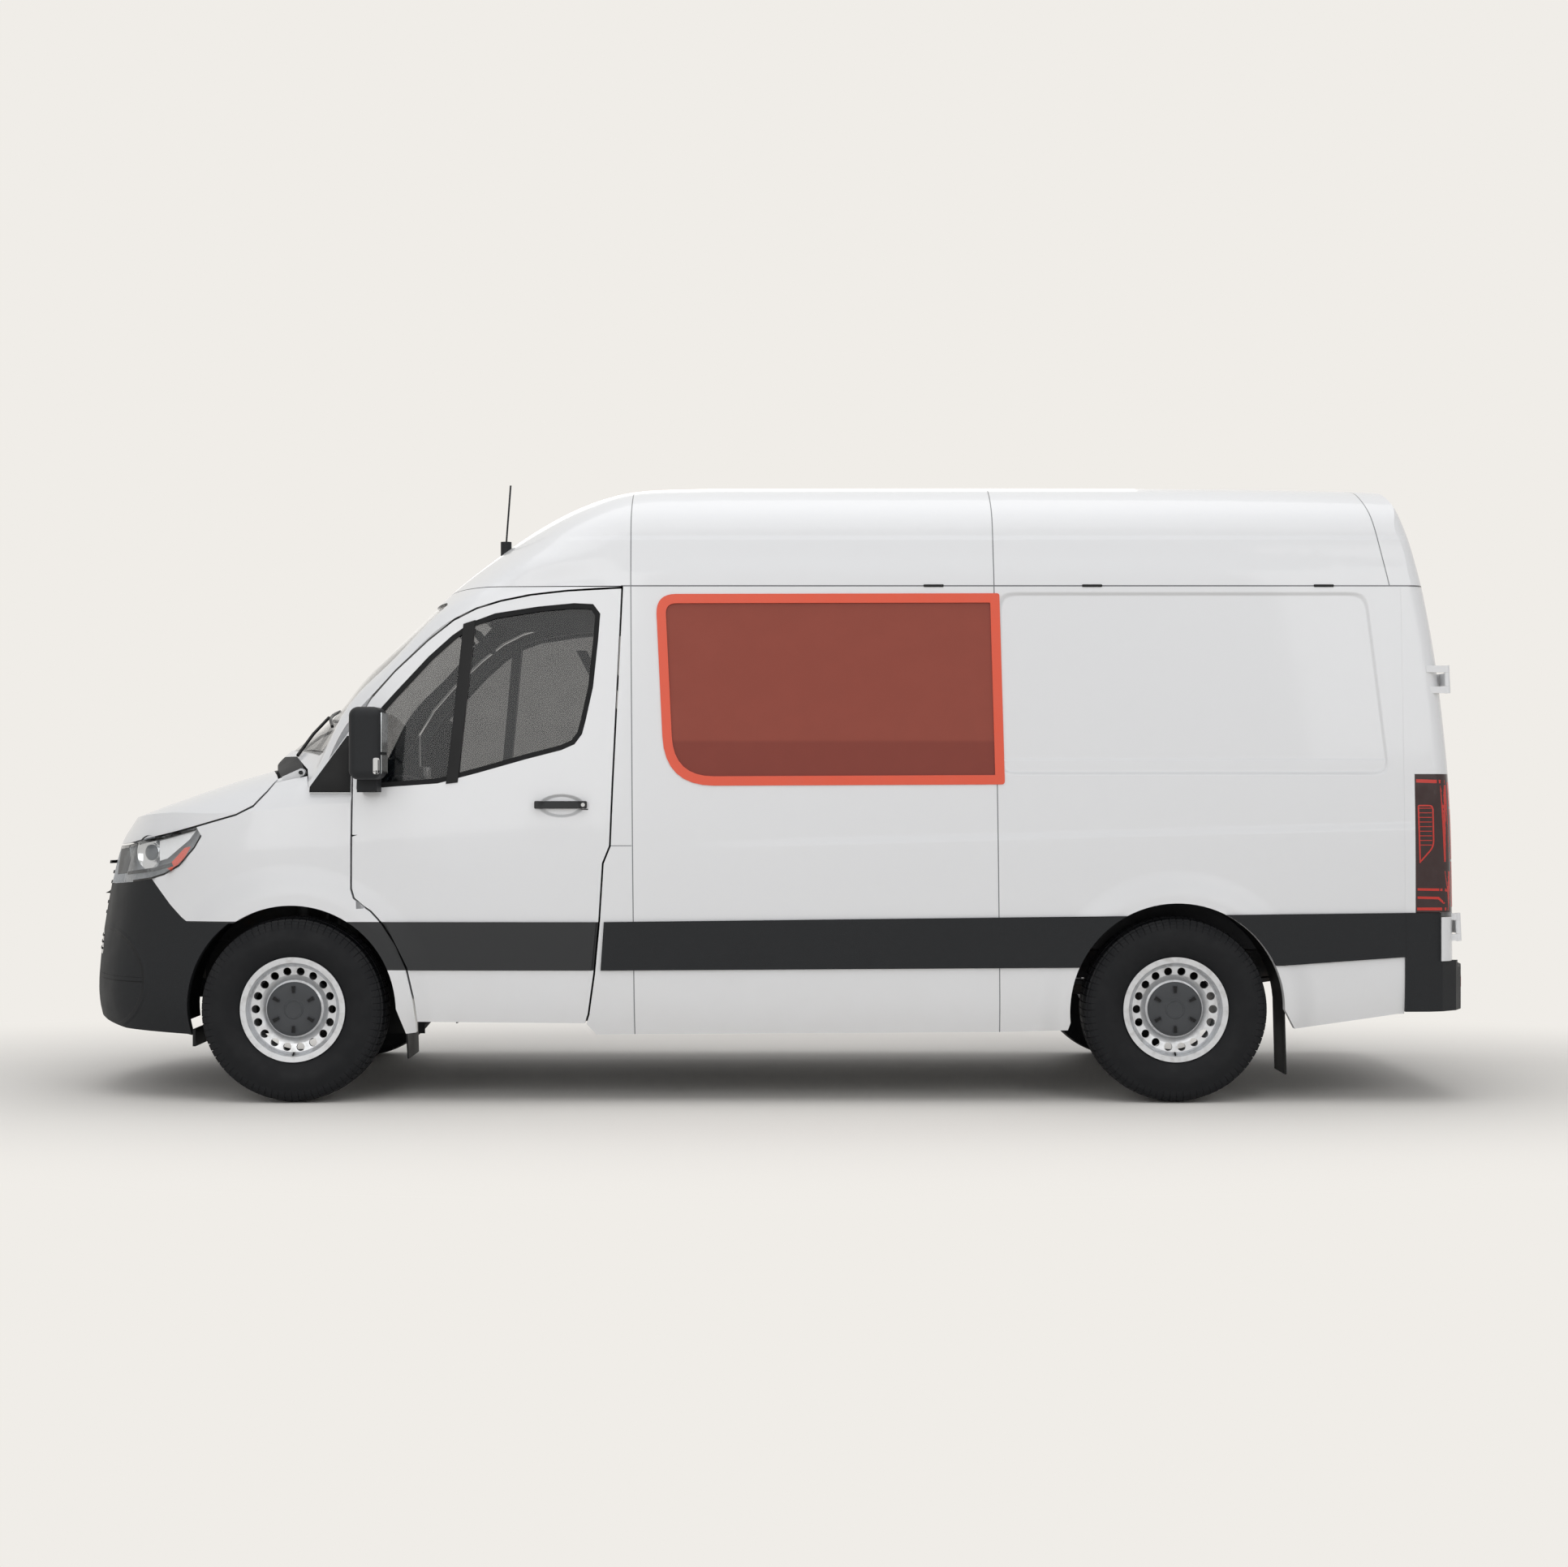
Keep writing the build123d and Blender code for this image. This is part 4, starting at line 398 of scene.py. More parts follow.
# Sand-cast iron and black underbody coating
def makeRough(name, colour, metal, roughness, grain):
    material, tree, shader, coords = startMaterial(name)
    cloud = addNode(tree, "TexNoise", {"Vector": coords, "Scale": 1.0 / 0.06, "Detail": 6.0})
    tint = addNode(tree, "Mix",
        {0: addNode(tree, "MapRange", [cloud, 0.45, 0.8, 0.0, 0.45], interpolation_type="SMOOTHSTEP"),
            6: linear(colour), 7: linear("#6B5A49")}, 2, data_type="RGBA")
    tree.links.new(tint, shader.inputs["Base Color"])
    tree.links.new(
        addNode(tree, "MapRange", [cloud, 0.3, 0.7, roughness - 0.06, roughness + 0.08],
            interpolation_type="SMOOTHSTEP"), shader.inputs["Roughness"])
    tree.links.new(
        addNode(tree, "Bump",
            {"Height": addNode(tree, "TexNoise", {"Vector": coords, "Scale": 1.0 / grain, "Detail": 4.0}),
                "Distance": 0.0006}), shader.inputs["Normal"])
    setShader(shader, Metallic=metal)
    return material


# Flat-woven seat cloth, threads about 1.5 mm apart drawn at 3 mm so that they show
def makeCloth(name, colour, second):
    material, tree, shader, coords = startMaterial(name)
    weave = addNode(tree, "TexWave", {"Vector": coords, "Scale": 50.0, "Distortion": 0.6, "Detail": 1.0},
        1, bands_direction="X")
    cross = addNode(tree, "TexWave", {"Vector": coords, "Scale": 50.0, "Distortion": 0.6, "Detail": 1.0},
        1, bands_direction="Z")
    both = addNode(tree, "Math", [weave, cross], operation="MULTIPLY")
    cloud = addNode(tree, "TexNoise", {"Vector": coords, "Scale": 1.0 / 0.02, "Detail": 3.0})
    tint = addNode(tree, "Mix",
        {0: addNode(tree, "Math", [both, cloud], operation="MULTIPLY"), 6: linear(colour),
            7: linear(second)}, 2, data_type="RGBA")
    tree.links.new(tint, shader.inputs["Base Color"])
    tree.links.new(addNode(tree, "Bump", {"Height": both, "Distance": 0.0006}), shader.inputs["Normal"])
    setShader(shader, Roughness=0.9, Sheen_Weight=0.35, Sheen_Roughness=0.5)
    return material


skinPaint = makePaint("whiteBodyEnamel", True)
doorPaint = makePaint("whiteDoorEnamel", True, True)
fenderPaint = makePaint("whiteFenderEnamel", False, True)
bonnetPaint = makePaint("whiteBonnetEnamel", False)
blackPlastic = makePlastic("blackGrainedPolypropylene", "#1C1E21", worn=0.06)
darkPlastic = makePlastic("blackFinePolypropylene", "#0E0F11", 0.5, 0.002, 0.00012, 0.03)
trimPlastic = makePlastic("greyDashboardFoamSkin", "#313337", 0.66, 0.004, 0.0004, 0.08)
glossBlack = makeGloss("blackPolishedAcrylic", "#0B0C0E", 0.08)
sealRubber = makePlastic("extrudedSealRubber", "#121315", 0.7, 0.003, 0.00008, 0.03)
tintGlass = makeGlass("greyTintedFloatGlass", "#101417", 0.42)
screenGlass = makeGlass("laminatedScreenGlass", "#12181A", 0.30)
orangeEnamel = makeGloss("orangeSatinEnamel", "#E2573B", 0.38)
# the russet pane's foot colour #823326 is painted reflection: a darker band across the pane below about 1.5 m
redGlass = makeGlass("russetTintedGlass", "#903F30", 0.93, 0.05, "#823326")
lensRed = makeGloss("redAcrylicLens", "#2A0A0C", 0.07)
lightGuide = makeGloss("redLightGuide", "#C4281C", 0.18)
amberLens = makeGloss("amberReflector", "#E64A1C", 0.2)
wheelSteel = makeWheelSteel()
hubPlastic = makePlastic("greyMouldedHubCover", "#45474A", 0.5, 0.003, 0.0001, 0.1)
treadRubber = makeRubber("vulcanisedTyreRubber", 0.00025)
castIron = makeRough("sandCastIron", "#4A4B4D", 0.6, 0.62, 0.004)
underCoat = makeRough("blackUnderbodyCoat", "#26282B", 0.0, 0.6, 0.006)
exhaustSteel = makeRough("heatStainedSteel", "#8E8A84", 0.9, 0.42, 0.008)
seatCloth = makeCloth("wovenSeatCloth", "#2E3136", "#5B5F66")
chromed = makeGloss("vacuumMetallisedReflector", "#D8DADC", 0.08)
chromed.node_tree.nodes["Principled BSDF"].inputs["Metallic"].default_value = 1.0
mirrorGlass = makeGloss("silveredMirrorGlass", "#C9CED2", 0.03)
mirrorGlass.node_tree.nodes["Principled BSDF"].inputs["Metallic"].default_value = 1.0
clearLens = makeGlass("clearPolycarbonateLens", "#E6EAEC", 0.09, 0.03)
print("materials ready")

finishes = {"body_paint": skinPaint, "black_plastic": blackPlastic, "clear_glass": tintGlass,
    "orange_glass": redGlass, "lamp_clear": clearLens, "lamp_red": lensRed, "tyre_rubber": treadRubber,
    "wheel_steel": wheelSteel, "chassis_steel": underCoat, "cast_metal": castIron,
    "exhaust_steel": exhaustSteel, "seat_cloth": seatCloth, "trim_plastic": trimPlastic}
usualSlot = {
    darkPlastic: "black_plastic", glossBlack: "black_plastic", blackPlastic: "black_plastic",
    sealRubber: "black_plastic",
    trimPlastic: "trim_plastic", chromed: "wheel_steel", lightGuide: "lamp_red", lensRed: "lamp_red",
    mirrorGlass: "clear_glass", clearLens: "lamp_clear", amberLens: "lamp_clear", seatCloth: "seat_cloth",
    treadRubber: "tyre_rubber",
}
slotOf = {s["node"]: s["material_slot"] for s in frame["record"]["subparts"]}
for name, thing in cad.items():
    thing.data.materials.clear()
    thing.data.materials.append(finishes[slotOf[name]])
for name, finish in (("fenders", fenderPaint), ("bonnet", bonnetPaint), ("front_door_left", doorPaint),
    ("front_door_right", doorPaint)):
    cad[name].data.materials[0] = finish
cad["bumpers"].data.materials[0] = makeBumper("blackBumperPolypropylene", "#1C1E21")
cad["windscreen"].data.materials[0] = screenGlass
cad["wheel_liners"].data.materials[0] = darkPlastic
cad["floor"].data.materials[0] = makePlastic("greyRubberFloor", "#3A3B3D", 0.75, 0.006, 0.0006)


# tools for new pieces

def mm(*values):
    return Vector([v / 1000 for v in values])


def finishPiece(name, bm, body, material, slot=None, flat=False, angle=35, weld=True):
    if weld:
        bmesh.ops.remove_doubles(bm, verts=bm.verts, dist=1e-6)
    bmesh.ops.recalc_face_normals(bm, faces=bm.faces)
    mesh = bpy.data.meshes.new(name)
    bm.to_mesh(mesh)
    bm.free()
    piece = bpy.data.objects.new(name, mesh)
    bpy.context.scene.collection.objects.link(piece)
    for m in (material if isinstance(material, (list, tuple)) else [material]):
        mesh.materials.append(m)
    if not flat:
        mesh.shade_smooth()
        mesh.set_sharp_from_angle(angle=math.radians(angle))
    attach(piece, body)
    slot or usualSlot[material]
    return piece


def mirrored(bm):
    # the same shape on the other side of the van
    other = bm.copy()
    bmesh.ops.scale(other, vec=(1, -1, 1), verts=other.verts)
    bmesh.ops.reverse_faces(other, faces=other.faces)
    return other


def skinOf(*names):
    # search tree of CAD nodes' surfaces
    verts, faces = [], []
    for name in names:
        mesh = cad[name].data
        base = len(verts)
        verts.extend(v.co.copy() for v in mesh.vertices)
        faces.extend([base + i for i in f.vertices] for f in mesh.polygons)
    return BVHTree.FromPolygons(verts, faces)


def hug(bm, skin, towards=(0, 1, 0)):
    # every vertex is pushed along towards onto the skin; its height off that plane is kept
    along = Vector(towards).normalized()
    start = 1.1 if abs(along.y) > 0.5 else 3.1
    for v in bm.verts:
        lift = v.co.dot(along)
        flat = v.co - along * lift
        hit = skin.ray_cast(flat - along * 4.0, along)[0]
        if hit is None:
            hit = skin.find_nearest(flat - along * start)[0]
        v.co = flat + along * (hit.dot(along) + lift)
    return bm


def rounded(points, radii, count=6):
    # outline with its corners turned into arcs; one radius, or one for each corner
    result = []
    total = len(points)
    for i, point in enumerate(points):
        radius = radii[i] if isinstance(radii, (list, tuple)) else radii
        p, a, b = Vector(point), Vector(points[i - 1]), Vector(points[(i + 1) % total])
        da, db = (a - p), (b - p)
        if radius <= 0:
            result.append(tuple(p))
            continue
        reach = min(radius, da.length * 0.49, db.length * 0.49)
        start, stop = p + da.normalized() * reach, p + db.normalized() * reach
        for k in range(count + 1):
            t = k / count
            result.append(tuple(start * (1 - t) ** 2 + p * 2 * t * (1 - t) + stop * t ** 2))
    return result


def plate(points, lift, plane="side"):
    # flat face from an outline in millimetres: side is (x, z), end is (y, z), top is (x, y)
    bm = bmesh.new()
    order = {"side": (0, 2, 1), "end": (2, 0, 1), "top": (0, 1, 2)}[plane]
    bm.faces.new([bm.verts.new(mm(*[(a, b, lift)[i] for i in order])) for a, b in points])
    return bm


def slice(bm, axis, step):
    # cuts a flat shape into strips so that it can follow a curved panel
    values = [v.co[axis] for v in bm.verts]
    at = min(values) + step
    while at < max(values) - step * 0.3:
        point, normal = Vector(), Vector()
        point[axis], normal[axis] = at, 1.0
        bmesh.ops.bisect_plane(bm, geom=bm.verts[:] + bm.edges[:] + bm.faces[:], plane_co=point,
            plane_no=normal)
        at += step


def thicken(bm, offset):
    # a second skin at offset and walls between
    faces = bm.faces[:]
    made = bmesh.ops.extrude_face_region(bm, geom=faces, use_keep_orig=True)
    bmesh.ops.translate(bm, vec=offset, verts=[g for g in made["geom"] if isinstance(g, bmesh.types.BMVert)])


def panelPiece(points, low, high, step=60, plane="side"):
    # a plate between two heights, cut into strips and ready to be hugged
    bm = plate(points, low, plane)
    axes = {"side": (0, 2), "end": (1, 2), "top": (0, 1)}[plane]
    for axis in axes:
        slice(bm, axis, step / 1000)
    offset = {"side": (0, (high - low) / 1000, 0), "end": ((high - low) / 1000, 0, 0),
        "top": (0, 0, (high - low) / 1000)}[plane]
    thicken(bm, offset)
    return bm


def softEdges(bm, width, segments=2, sharp=40):
    edges = [e for e in bm.edges if e.is_manifold and e.calc_face_angle(0) > math.radians(sharp)]
    bmesh.ops.bevel(bm, geom=edges, offset=width / 1000, segments=segments, profile=0.5, affect="EDGES",
        material=-1, clamp_overlap=True)


def boxPiece(low, high):
    bm = bmesh.new()
    bmesh.ops.create_cube(bm, size=1.0)
    a, b = mm(*low), mm(*high)
    bmesh.ops.scale(bm, vec=b - a, verts=bm.verts)
    bmesh.ops.translate(bm, vec=(a + b) / 2, verts=bm.verts)
    return bm


def spun(profile, centre, axis="y", steps=48, outward=1):
    # profile of (distance along the axle, radius) in millimetres, turned about it
    bm = bmesh.new()
    verts = [bm.verts.new((0, outward * a / 1000, r / 1000)) for a, r in profile]
    edges = [bm.edges.new(pair) for pair in zip(verts, verts[1:])]
    bmesh.ops.spin(bm, geom=verts + edges, axis=(0, 1, 0), cent=(0, 0, 0), dvec=(0, 0, 0), angle=math.tau,
        steps=steps, use_merge=True)
    bmesh.ops.remove_doubles(bm, verts=bm.verts, dist=1e-5)
    bmesh.ops.translate(bm, vec=mm(*centre), verts=bm.verts)
    return bm


def bar(points, radius, sides=10):
    # round bar through points in millimetres
    curve = bpy.data.curves.new("bar", "CURVE")
    curve.dimensions = "3D"
    curve.bevel_depth = radius / 1000
    curve.bevel_resolution = max(1, sides // 4)
    curve.use_fill_caps = True
    spline = curve.splines.new("POLY")
    spline.points.add(len(points) - 1)
    for target, source in zip(spline.points, points):
        target.co = [*mm(*source), 1.0]
    holder = bpy.data.objects.new("bar", curve)
    bm = bmesh.new()
    bm.from_mesh(bpy.data.meshes.new_from_object(holder))
    bpy.data.objects.remove(holder)
    return bm


def joined(*parts):
    whole = parts[0]
    for part in parts[1:]:
        mesh = bpy.data.meshes.new("part")
        part.to_mesh(mesh)
        part.free()
        whole.from_mesh(mesh)
        bpy.data.meshes.remove(mesh)
    return whole


# wheels: tyres with tread, hub covers and valves

tyre = {
    "radius": 385.0, "groove": 8.5, "steps": 80,
    "wall": [
        (-88.5, 205), (-90, 219), (-101, 231), (-115, 258), (-121.5, 290), (-121.5, 302), (-119, 330),
        (-117.5, 336), (-114, 352), (-106, 366),
    ],
    "ribs": [(-100, -62), (-55, -22), (-15, 15), (22, 55), (62, 100)],
}
cover = {
    "radius": 113.0, "face": 72.0, "slots": 6, "slotIn": 68.0, "slotOut": 98.0, "steps": 72, "boss": 37.0,
}


def tyreMesh(outward):
    t = tyre
    base = t["radius"] - t["groove"]
    profile = list(t["wall"])
    for low, high in t["ribs"]:
        crown = [(a, base - 10.0 * (abs(a) / 105.0) ** 3) for a in (low - 3.5, low, high, high + 3.5)]
        profile.extend([(crown[0][0], crown[0][1] - 0.5), crown[1], crown[2],
            (crown[3][0], crown[3][1] - 0.5)])
    profile.extend((-a, r) for a, r in reversed(t["wall"]))
    bm = spun(profile, (0, 0, 0), steps=t["steps"], outward=outward)
    blocks = []
    for f in bm.faces:
        c = f.calc_center_median()
        across = abs(c.y) * 1000
        radius = math.hypot(c.x, c.z) * 1000
        onRib = any(low < c.y * 1000 * outward < high for low, high in t["ribs"])
        if (onRib and radius > 360) or 106 < across < 119 and radius > 334:
            blocks.append(f)
    bmesh.ops.inset_individual(bm, faces=blocks, thickness=0.0026, depth=0.0)
    for f in blocks:
        c = f.calc_center_median()
        onTread = math.hypot(c.x, c.z) > 0.366
        out = Vector((c.x, 0, c.z)) if onTread else c
        rise = t["groove"] - 0.1 if onTread else 3.0
        bmesh.ops.translate(bm, vec=out.normalized() * rise / 1000, verts=f.verts)
    inner = [(-88.5, 205), (-88.5, 203.6), (88.5, 203.6), (88.5, 205)]
    bm = joined(bm, spun(inner, (0, 0, 0), steps=t["steps"], outward=outward))
    return bm


def coverMesh(outward):
    c = cover
    face, boss = c["face"], c["boss"]
    profile = [
        (40, 0.2), (face - 1.5, 0.2), (face - 1.5, 20), (face - 0.5, boss - 4), (face + 1.5, boss - 2),
        (face + 1.5, boss + 1), (face - 1.0, boss + 4), (face, 52), (face + 0.5, c["slotIn"]),
        (face, c["slotOut"]), (face - 3, 107), (face - 8, c["radius"]), (face - 16, c["radius"]),
        (face - 16, 60),
    ]
    bm = spun(profile, (0, 0, 0), steps=c["steps"], outward=outward)
    slots = []
    for f in bm.faces:
        m = f.calc_center_median()
        radius = math.hypot(m.x, m.z) * 1000
        turn = (math.degrees(math.atan2(m.z, m.x)) - 90) % (360 / c["slots"])
        turn = min(turn, 360 / c["slots"] - turn)
        if c["slotIn"] < radius < c["slotOut"] and turn < 5.2 and abs(m.y) * 1000 > c["face"] - 3:
            slots.append(f)
    bmesh.ops.inset_region(bm, faces=slots, thickness=0.0015, depth=-0.009)
    for f in slots:
        f.material_index = 1
    return bm


for hand, side in sides.items():
    for end in ("front", "rear"):
        low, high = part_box("rim_%s_%s" % (end, hand))
        centre = (low + high) / 2
        wheelY = side * 0.853
        body = "wheel_%s_%s" % (end, hand)
        bm = tyreMesh(side)
        bmesh.ops.translate(bm, vec=(centre.x, wheelY, centre.z), verts=bm.verts)
        piece = finishPiece("treadedTyre_%s_%s" % (end, hand), bm, body, treadRubber, angle=28)
        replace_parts(piece, "tyre_%s_%s" % (end, hand))
        bm = coverMesh(side)
        bmesh.ops.translate(bm, vec=(centre.x, wheelY, centre.z), verts=bm.verts)
        finishPiece("hubCover_%s_%s" % (end, hand), bm, body, [hubPlastic, darkPlastic], "black_plastic")
        valve = bar([(0, side * 58, -176), (0, side * 84, -190)], 4.0)
        bmesh.ops.translate(valve, vec=(centre.x, wheelY, centre.z), verts=valve.verts)
        finishPiece("tyreValve_%s_%s" % (end, hand), valve, body, darkPlastic)
print("wheels done")

# pieces that lie on the body

shapes = {
    "doorWindow": [
        (-1694, 1300), (-1357, 1324), (-1189, 1368), (-992, 1424), (-844, 1462), (-790, 1486), (-759, 1528),
        (-744, 1586), (-714, 1725), (-694, 1923), (-686, 2030), (-716, 2070), (-796, 2074), (-945, 2060),
        (-1124, 2032), (-1222, 1996), (-1303, 1940), (-1401, 1852), (-1540, 1702), (-1601, 1634),
        (-1690, 1500),
    ],
    "windowCorners": [(-457, 2112), (972, 2115), (990, 1320), (-416, 1314)],
    "windowRadii": [85, 12, 15, 205], "windowFrame": 39,
    "lampTop": [(-2795, 1052), (-2704, 1064), (-2480, 1113), (-2369, 1142)],
    "lampBottom": [(-2345, 1104), (-2374, 1054), (-2442, 979), (-2510, 942), (-2568, 925), (-2663, 910)],
}
leftSkin = skinOf("side_panel_left", "front_door_left", "fenders", "roof", "corner_posts")
glassSkin = skinOf("door_glass_left")
mirrorSkin = skinOf("mirror_left")
lampSkin = skinOf("headlights")
tailSkin = skinOf("tail_lamps")
frontSkin = skinOf("grille_and_cowl", "bumpers", "bonnet")
rearSkin = skinOf("rear_door_left", "rear_door_right", "bumpers", "roof")
screenSkin = skinOf("windscreen", "windscreen_frame")


def depthAt(skin, a, b, plane="side"):
    # how far out a skin is at a point, in millimetres
    origin, along = {"side": (mm(a, -4000, b), Vector((0, 1, 0))),
        "front": (mm(-6000, a, b), Vector((1, 0, 0))),
                     "rear": (mm(6000, a, b), Vector((-1, 0, 0)))}[plane]
    hit = skin.ray_cast(origin, along)[0] or skin.find_nearest(origin)[0]
    return (hit.y if plane == "side" else hit.x) * 1000


def grow(points, margin):
    # outline moved outwards
    area = sum(a[0] * b[1] - b[0] * a[1] for a, b in zip(points, points[1:] + points[:1]))
    turn = 1 if area > 0 else -1
    moved = []
    for i, p in enumerate(points):
        a = (Vector(p) - Vector(points[i - 1])).normalized()
        b = (Vector(points[(i + 1) % len(points)]) - Vector(p)).normalized()
        out = Vector((turn * (a.y + b.y), -turn * (a.x + b.x)))
        moved.append(tuple(Vector(p) + out * 2 * margin / out.length_squared))
    return moved


def band(outer, inner, low, high, step=60, plane="side"):
    # flat ring between two outlines of as many points, made into a bar
    order = {"side": (0, 2, 1), "end": (2, 0, 1)}[plane]
    bm = bmesh.new()
    edges = []
    for points in (outer, inner):
        verts = [bm.verts.new(mm(*[(a, b, low)[i] for i in order])) for a, b in points]
        edges.extend(bm.edges.new((verts[i - 1], verts[i])) for i in range(len(verts)))
    bmesh.ops.bridge_loops(bm, edges=edges)
    for axis in ((0, 2) if plane == "side" else (1, 2)):
        slice(bm, axis, step / 1000)
    thicken(bm, mm(0, high - low, 0) if plane == "side" else mm(high - low, 0, 0))
    return bm


def both(name, bm, body, material, slot=None, **more):
    # a left piece and its twin on the right
    twin = mirrored(bm)
    made = [finishPiece(name + "_left", bm, body.format(hand="left"), material, slot, **more)]
    made.append(finishPiece(name + "_right", twin, body.format(hand="right"), material, slot, **more))
    return made


def onSide(points, low, high, skin=leftSkin, step=60, edge=0):
    bm = panelPiece(points, low, high, step)
    if edge:
        softEdges(bm, edge)
    return hug(bm, skin)


def onEnd(points, low, high, skin, rear=False, step=60, edge=0):
    # a plate on the nose or the tail, from (y, z) points
    bm = panelPiece(points, low, high, step, plane="end")
    if edge:
        softEdges(bm, edge)
    return hug(bm, skin, (-1, 0, 0) if rear else (1, 0, 0))


def rect(x0, x1, z0, z1, radius=0):
    corners = [(x0, z0), (x1, z0), (x1, z1), (x0, z1)]
    return rounded(corners, radius, 4) if radius else corners


# Orange frame on the pane's node: faces outside the frame's inner outline
inner = rounded(grow(shapes["windowCorners"], -shapes["windowFrame"]), [46, 4, 4, 166], 8)


def insideOutline(x, z, outline):
    inside = False
    for a, b in zip(outline, outline[1:] + outline[:1]):
        if (a[1] > z) != (b[1] > z) and x < (b[0] - a[0]) * (z - a[1]) / (b[1] - a[1]) + a[0]:
            inside = not inside
    return inside


pane = cad["side_windows"].data
pane.materials.append(orangeEnamel)
for face in pane.polygons:
    c = face.center * 1000
    if abs(face.normal.y) < 0.6 or not insideOutline(c.x, c.z, inner):
        face.material_index = 1

# Cab doors: window seal, divider, handle, sealing cover on the quarter
window = shapes["doorWindow"]
both("doorWindowSeal", hug(band(grow(window, -1), grow(window, -21), 1.5, -10.5), glassSkin),
     "front_door_{hand}", sealRubber)
divider = [(-1322, 1322), (-1273, 1328), (-1206, 2004), (-1256, 1988)]
both("doorDividerCover", onSide(divider, 6, -4, skinOf("front_door_left")), "front_door_{hand}", darkPlastic)
quarter = [(-1890, 1287), (-1718, 1287), (-1718, 1522), (-1737, 1522), (-1889, 1310)]
both("quarterCover", onSide(quarter, 2, -2.2, skinOf("windscreen_frame"), edge=1.0), "body", darkPlastic)

handle = {"x": (-953, -737), "z": 1236, "half": 15.5, "feet": [(-947, -918), (-772, -743)],
    "key": (-752, 1236)}
skinY = depthAt(skinOf("side_panel_left", "front_door_left"), -850, 1290)
x0, x1 = handle["x"]
grip = boxPiece((x0, skinY - 28.5, handle["z"] - handle["half"]),
    (x1, skinY - 7, handle["z"] + handle["half"]))
softEdges(grip, 4, 3)
for a, b in handle["feet"]:
    foot = boxPiece((a, skinY - 22, handle["z"] - 14), (b, skinY + 2, handle["z"] + 14))
    softEdges(foot, 4, 2)
    grip = joined(grip, foot)
both("doorHandle", grip, "front_door_{hand}", darkPlastic)
key = spun([(0, 0.2), (1.6, 0.2), (1.6, 8), (0, 9.5)], (handle["key"][0], skinY - 28.4, handle["key"][1]),
    outward=-1, steps=24)
both("doorKeyPlate", key, "front_door_{hand}", chromed)

# Mirrors: side repeater and split glass behind
repeater = onSide(rect(-1586, -1563, 1362, 1428, 8), 1, -0.4, mirrorSkin, 8)
both("sideRepeater", repeater, "front_door_{hand}", chromed, "lamp_clear")
glasses = joined(boxPiece((-1557.5, -1176, 1452), (-1554.8, -1022, 1612)),
    boxPiece((-1557.5, -1176, 1364), (-1554.8, -1022, 1440)))
both("mirrorGlass", glasses, "front_door_{hand}", mirrorGlass)

# Small black roof-rail caps in the gutter, sliding-door rail and its handle
for index, x in enumerate((699, 1358, 2321)):
    both("gutterCap%d" % (index + 1), onSide(rect(x - 42, x + 42, 2141, 2152, 4), 2, -3, edge=1), "body",
        darkPlastic)
rail = onSide(rect(1004, 2500, 1246, 1284, 10), 2, -3.5, step=90, edge=1)
finishPiece("slidingDoorRail", mirrored(rail), "body", darkPlastic)
slideY = depthAt(leftSkin, -400, 1236)
pull = boxPiece((-530, slideY - 30, 1220), (-340, slideY - 10, 1252))
softEdges(pull, 7, 3)
for a, b in ((-524, -500), (-370, -346)):
    pull = joined(pull, boxPiece((a, slideY - 24, 1223), (b, slideY + 2, 1249)))
finishPiece("slidingDoorHandle", mirrored(pull), "body", darkPlastic)

# Headlamps: clear cover over a reflector box, projector, turn lamp and black brow


def lampParts(node):
    # outer face of a lamp and the box behind it
    whole = bmesh.new()
    whole.from_mesh(cad[node].data)
    bmesh.ops.remove_doubles(whole, verts=whole.verts, dist=2e-5)
    whole.normal_update()
    heart = mm(-2200, 0, 900) if node == "headlights" else mm(2300, 0, 1000)
    outside = []
    for f in whole.faces:
        away = f.calc_center_median() - heart
        away.z = 0
        if f.normal.dot(away.normalized()) > 0.45:
            outside.append(f)
    box = whole.copy()
    box.faces.ensure_lookup_table()
    picked = {f.index for f in outside}
    bmesh.ops.delete(box, geom=[f for f in box.faces if f.index in picked], context="FACES")
    bmesh.ops.delete(whole, geom=[f for f in whole.faces if f not in outside], context="FACES")
    bmesh.ops.solidify(whole, geom=whole.faces[:], thickness=0.0025)
    return whole, box


lens, box = lampParts("headlights")
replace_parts(finishPiece("headlampLens", lens, "body", clearLens), "headlights")
finishPiece("headlampBox", box, "body", makeGloss("greyLampHousing", "#B4B7BB", 0.25), "trim_plastic")

lamp = {
    "at": (-2600, 1034), "turn": 32, "deep": 17,
    "amber": [(-2505, 972), (-2478, 958), (-2418, 1016), (-2392, 1062), (-2420, 1056), (-2470, 1004)],
    "reflector": [(-2535, 1000), (-2500, 1010), (-2400, 1090), (-2372, 1128), (-2470, 1100), (-2540, 1083)],
}


def place(bm, at, turn, lift):
    # a part spun about Y is turned to face out of the lamp
    bmesh.ops.rotate(bm, verts=bm.verts, cent=(0, 0, 0), matrix=Matrix.Rotation(math.radians(-turn), 3, "Z"))
    y = depthAt(lampSkin, *at)
    out = Matrix.Rotation(math.radians(-turn), 3, "Z") @ Vector((0, -1, 0))
    bmesh.ops.translate(bm, verts=bm.verts, vec=mm(at[0], y, at[1]) - out * lift / 1000)
    return bm


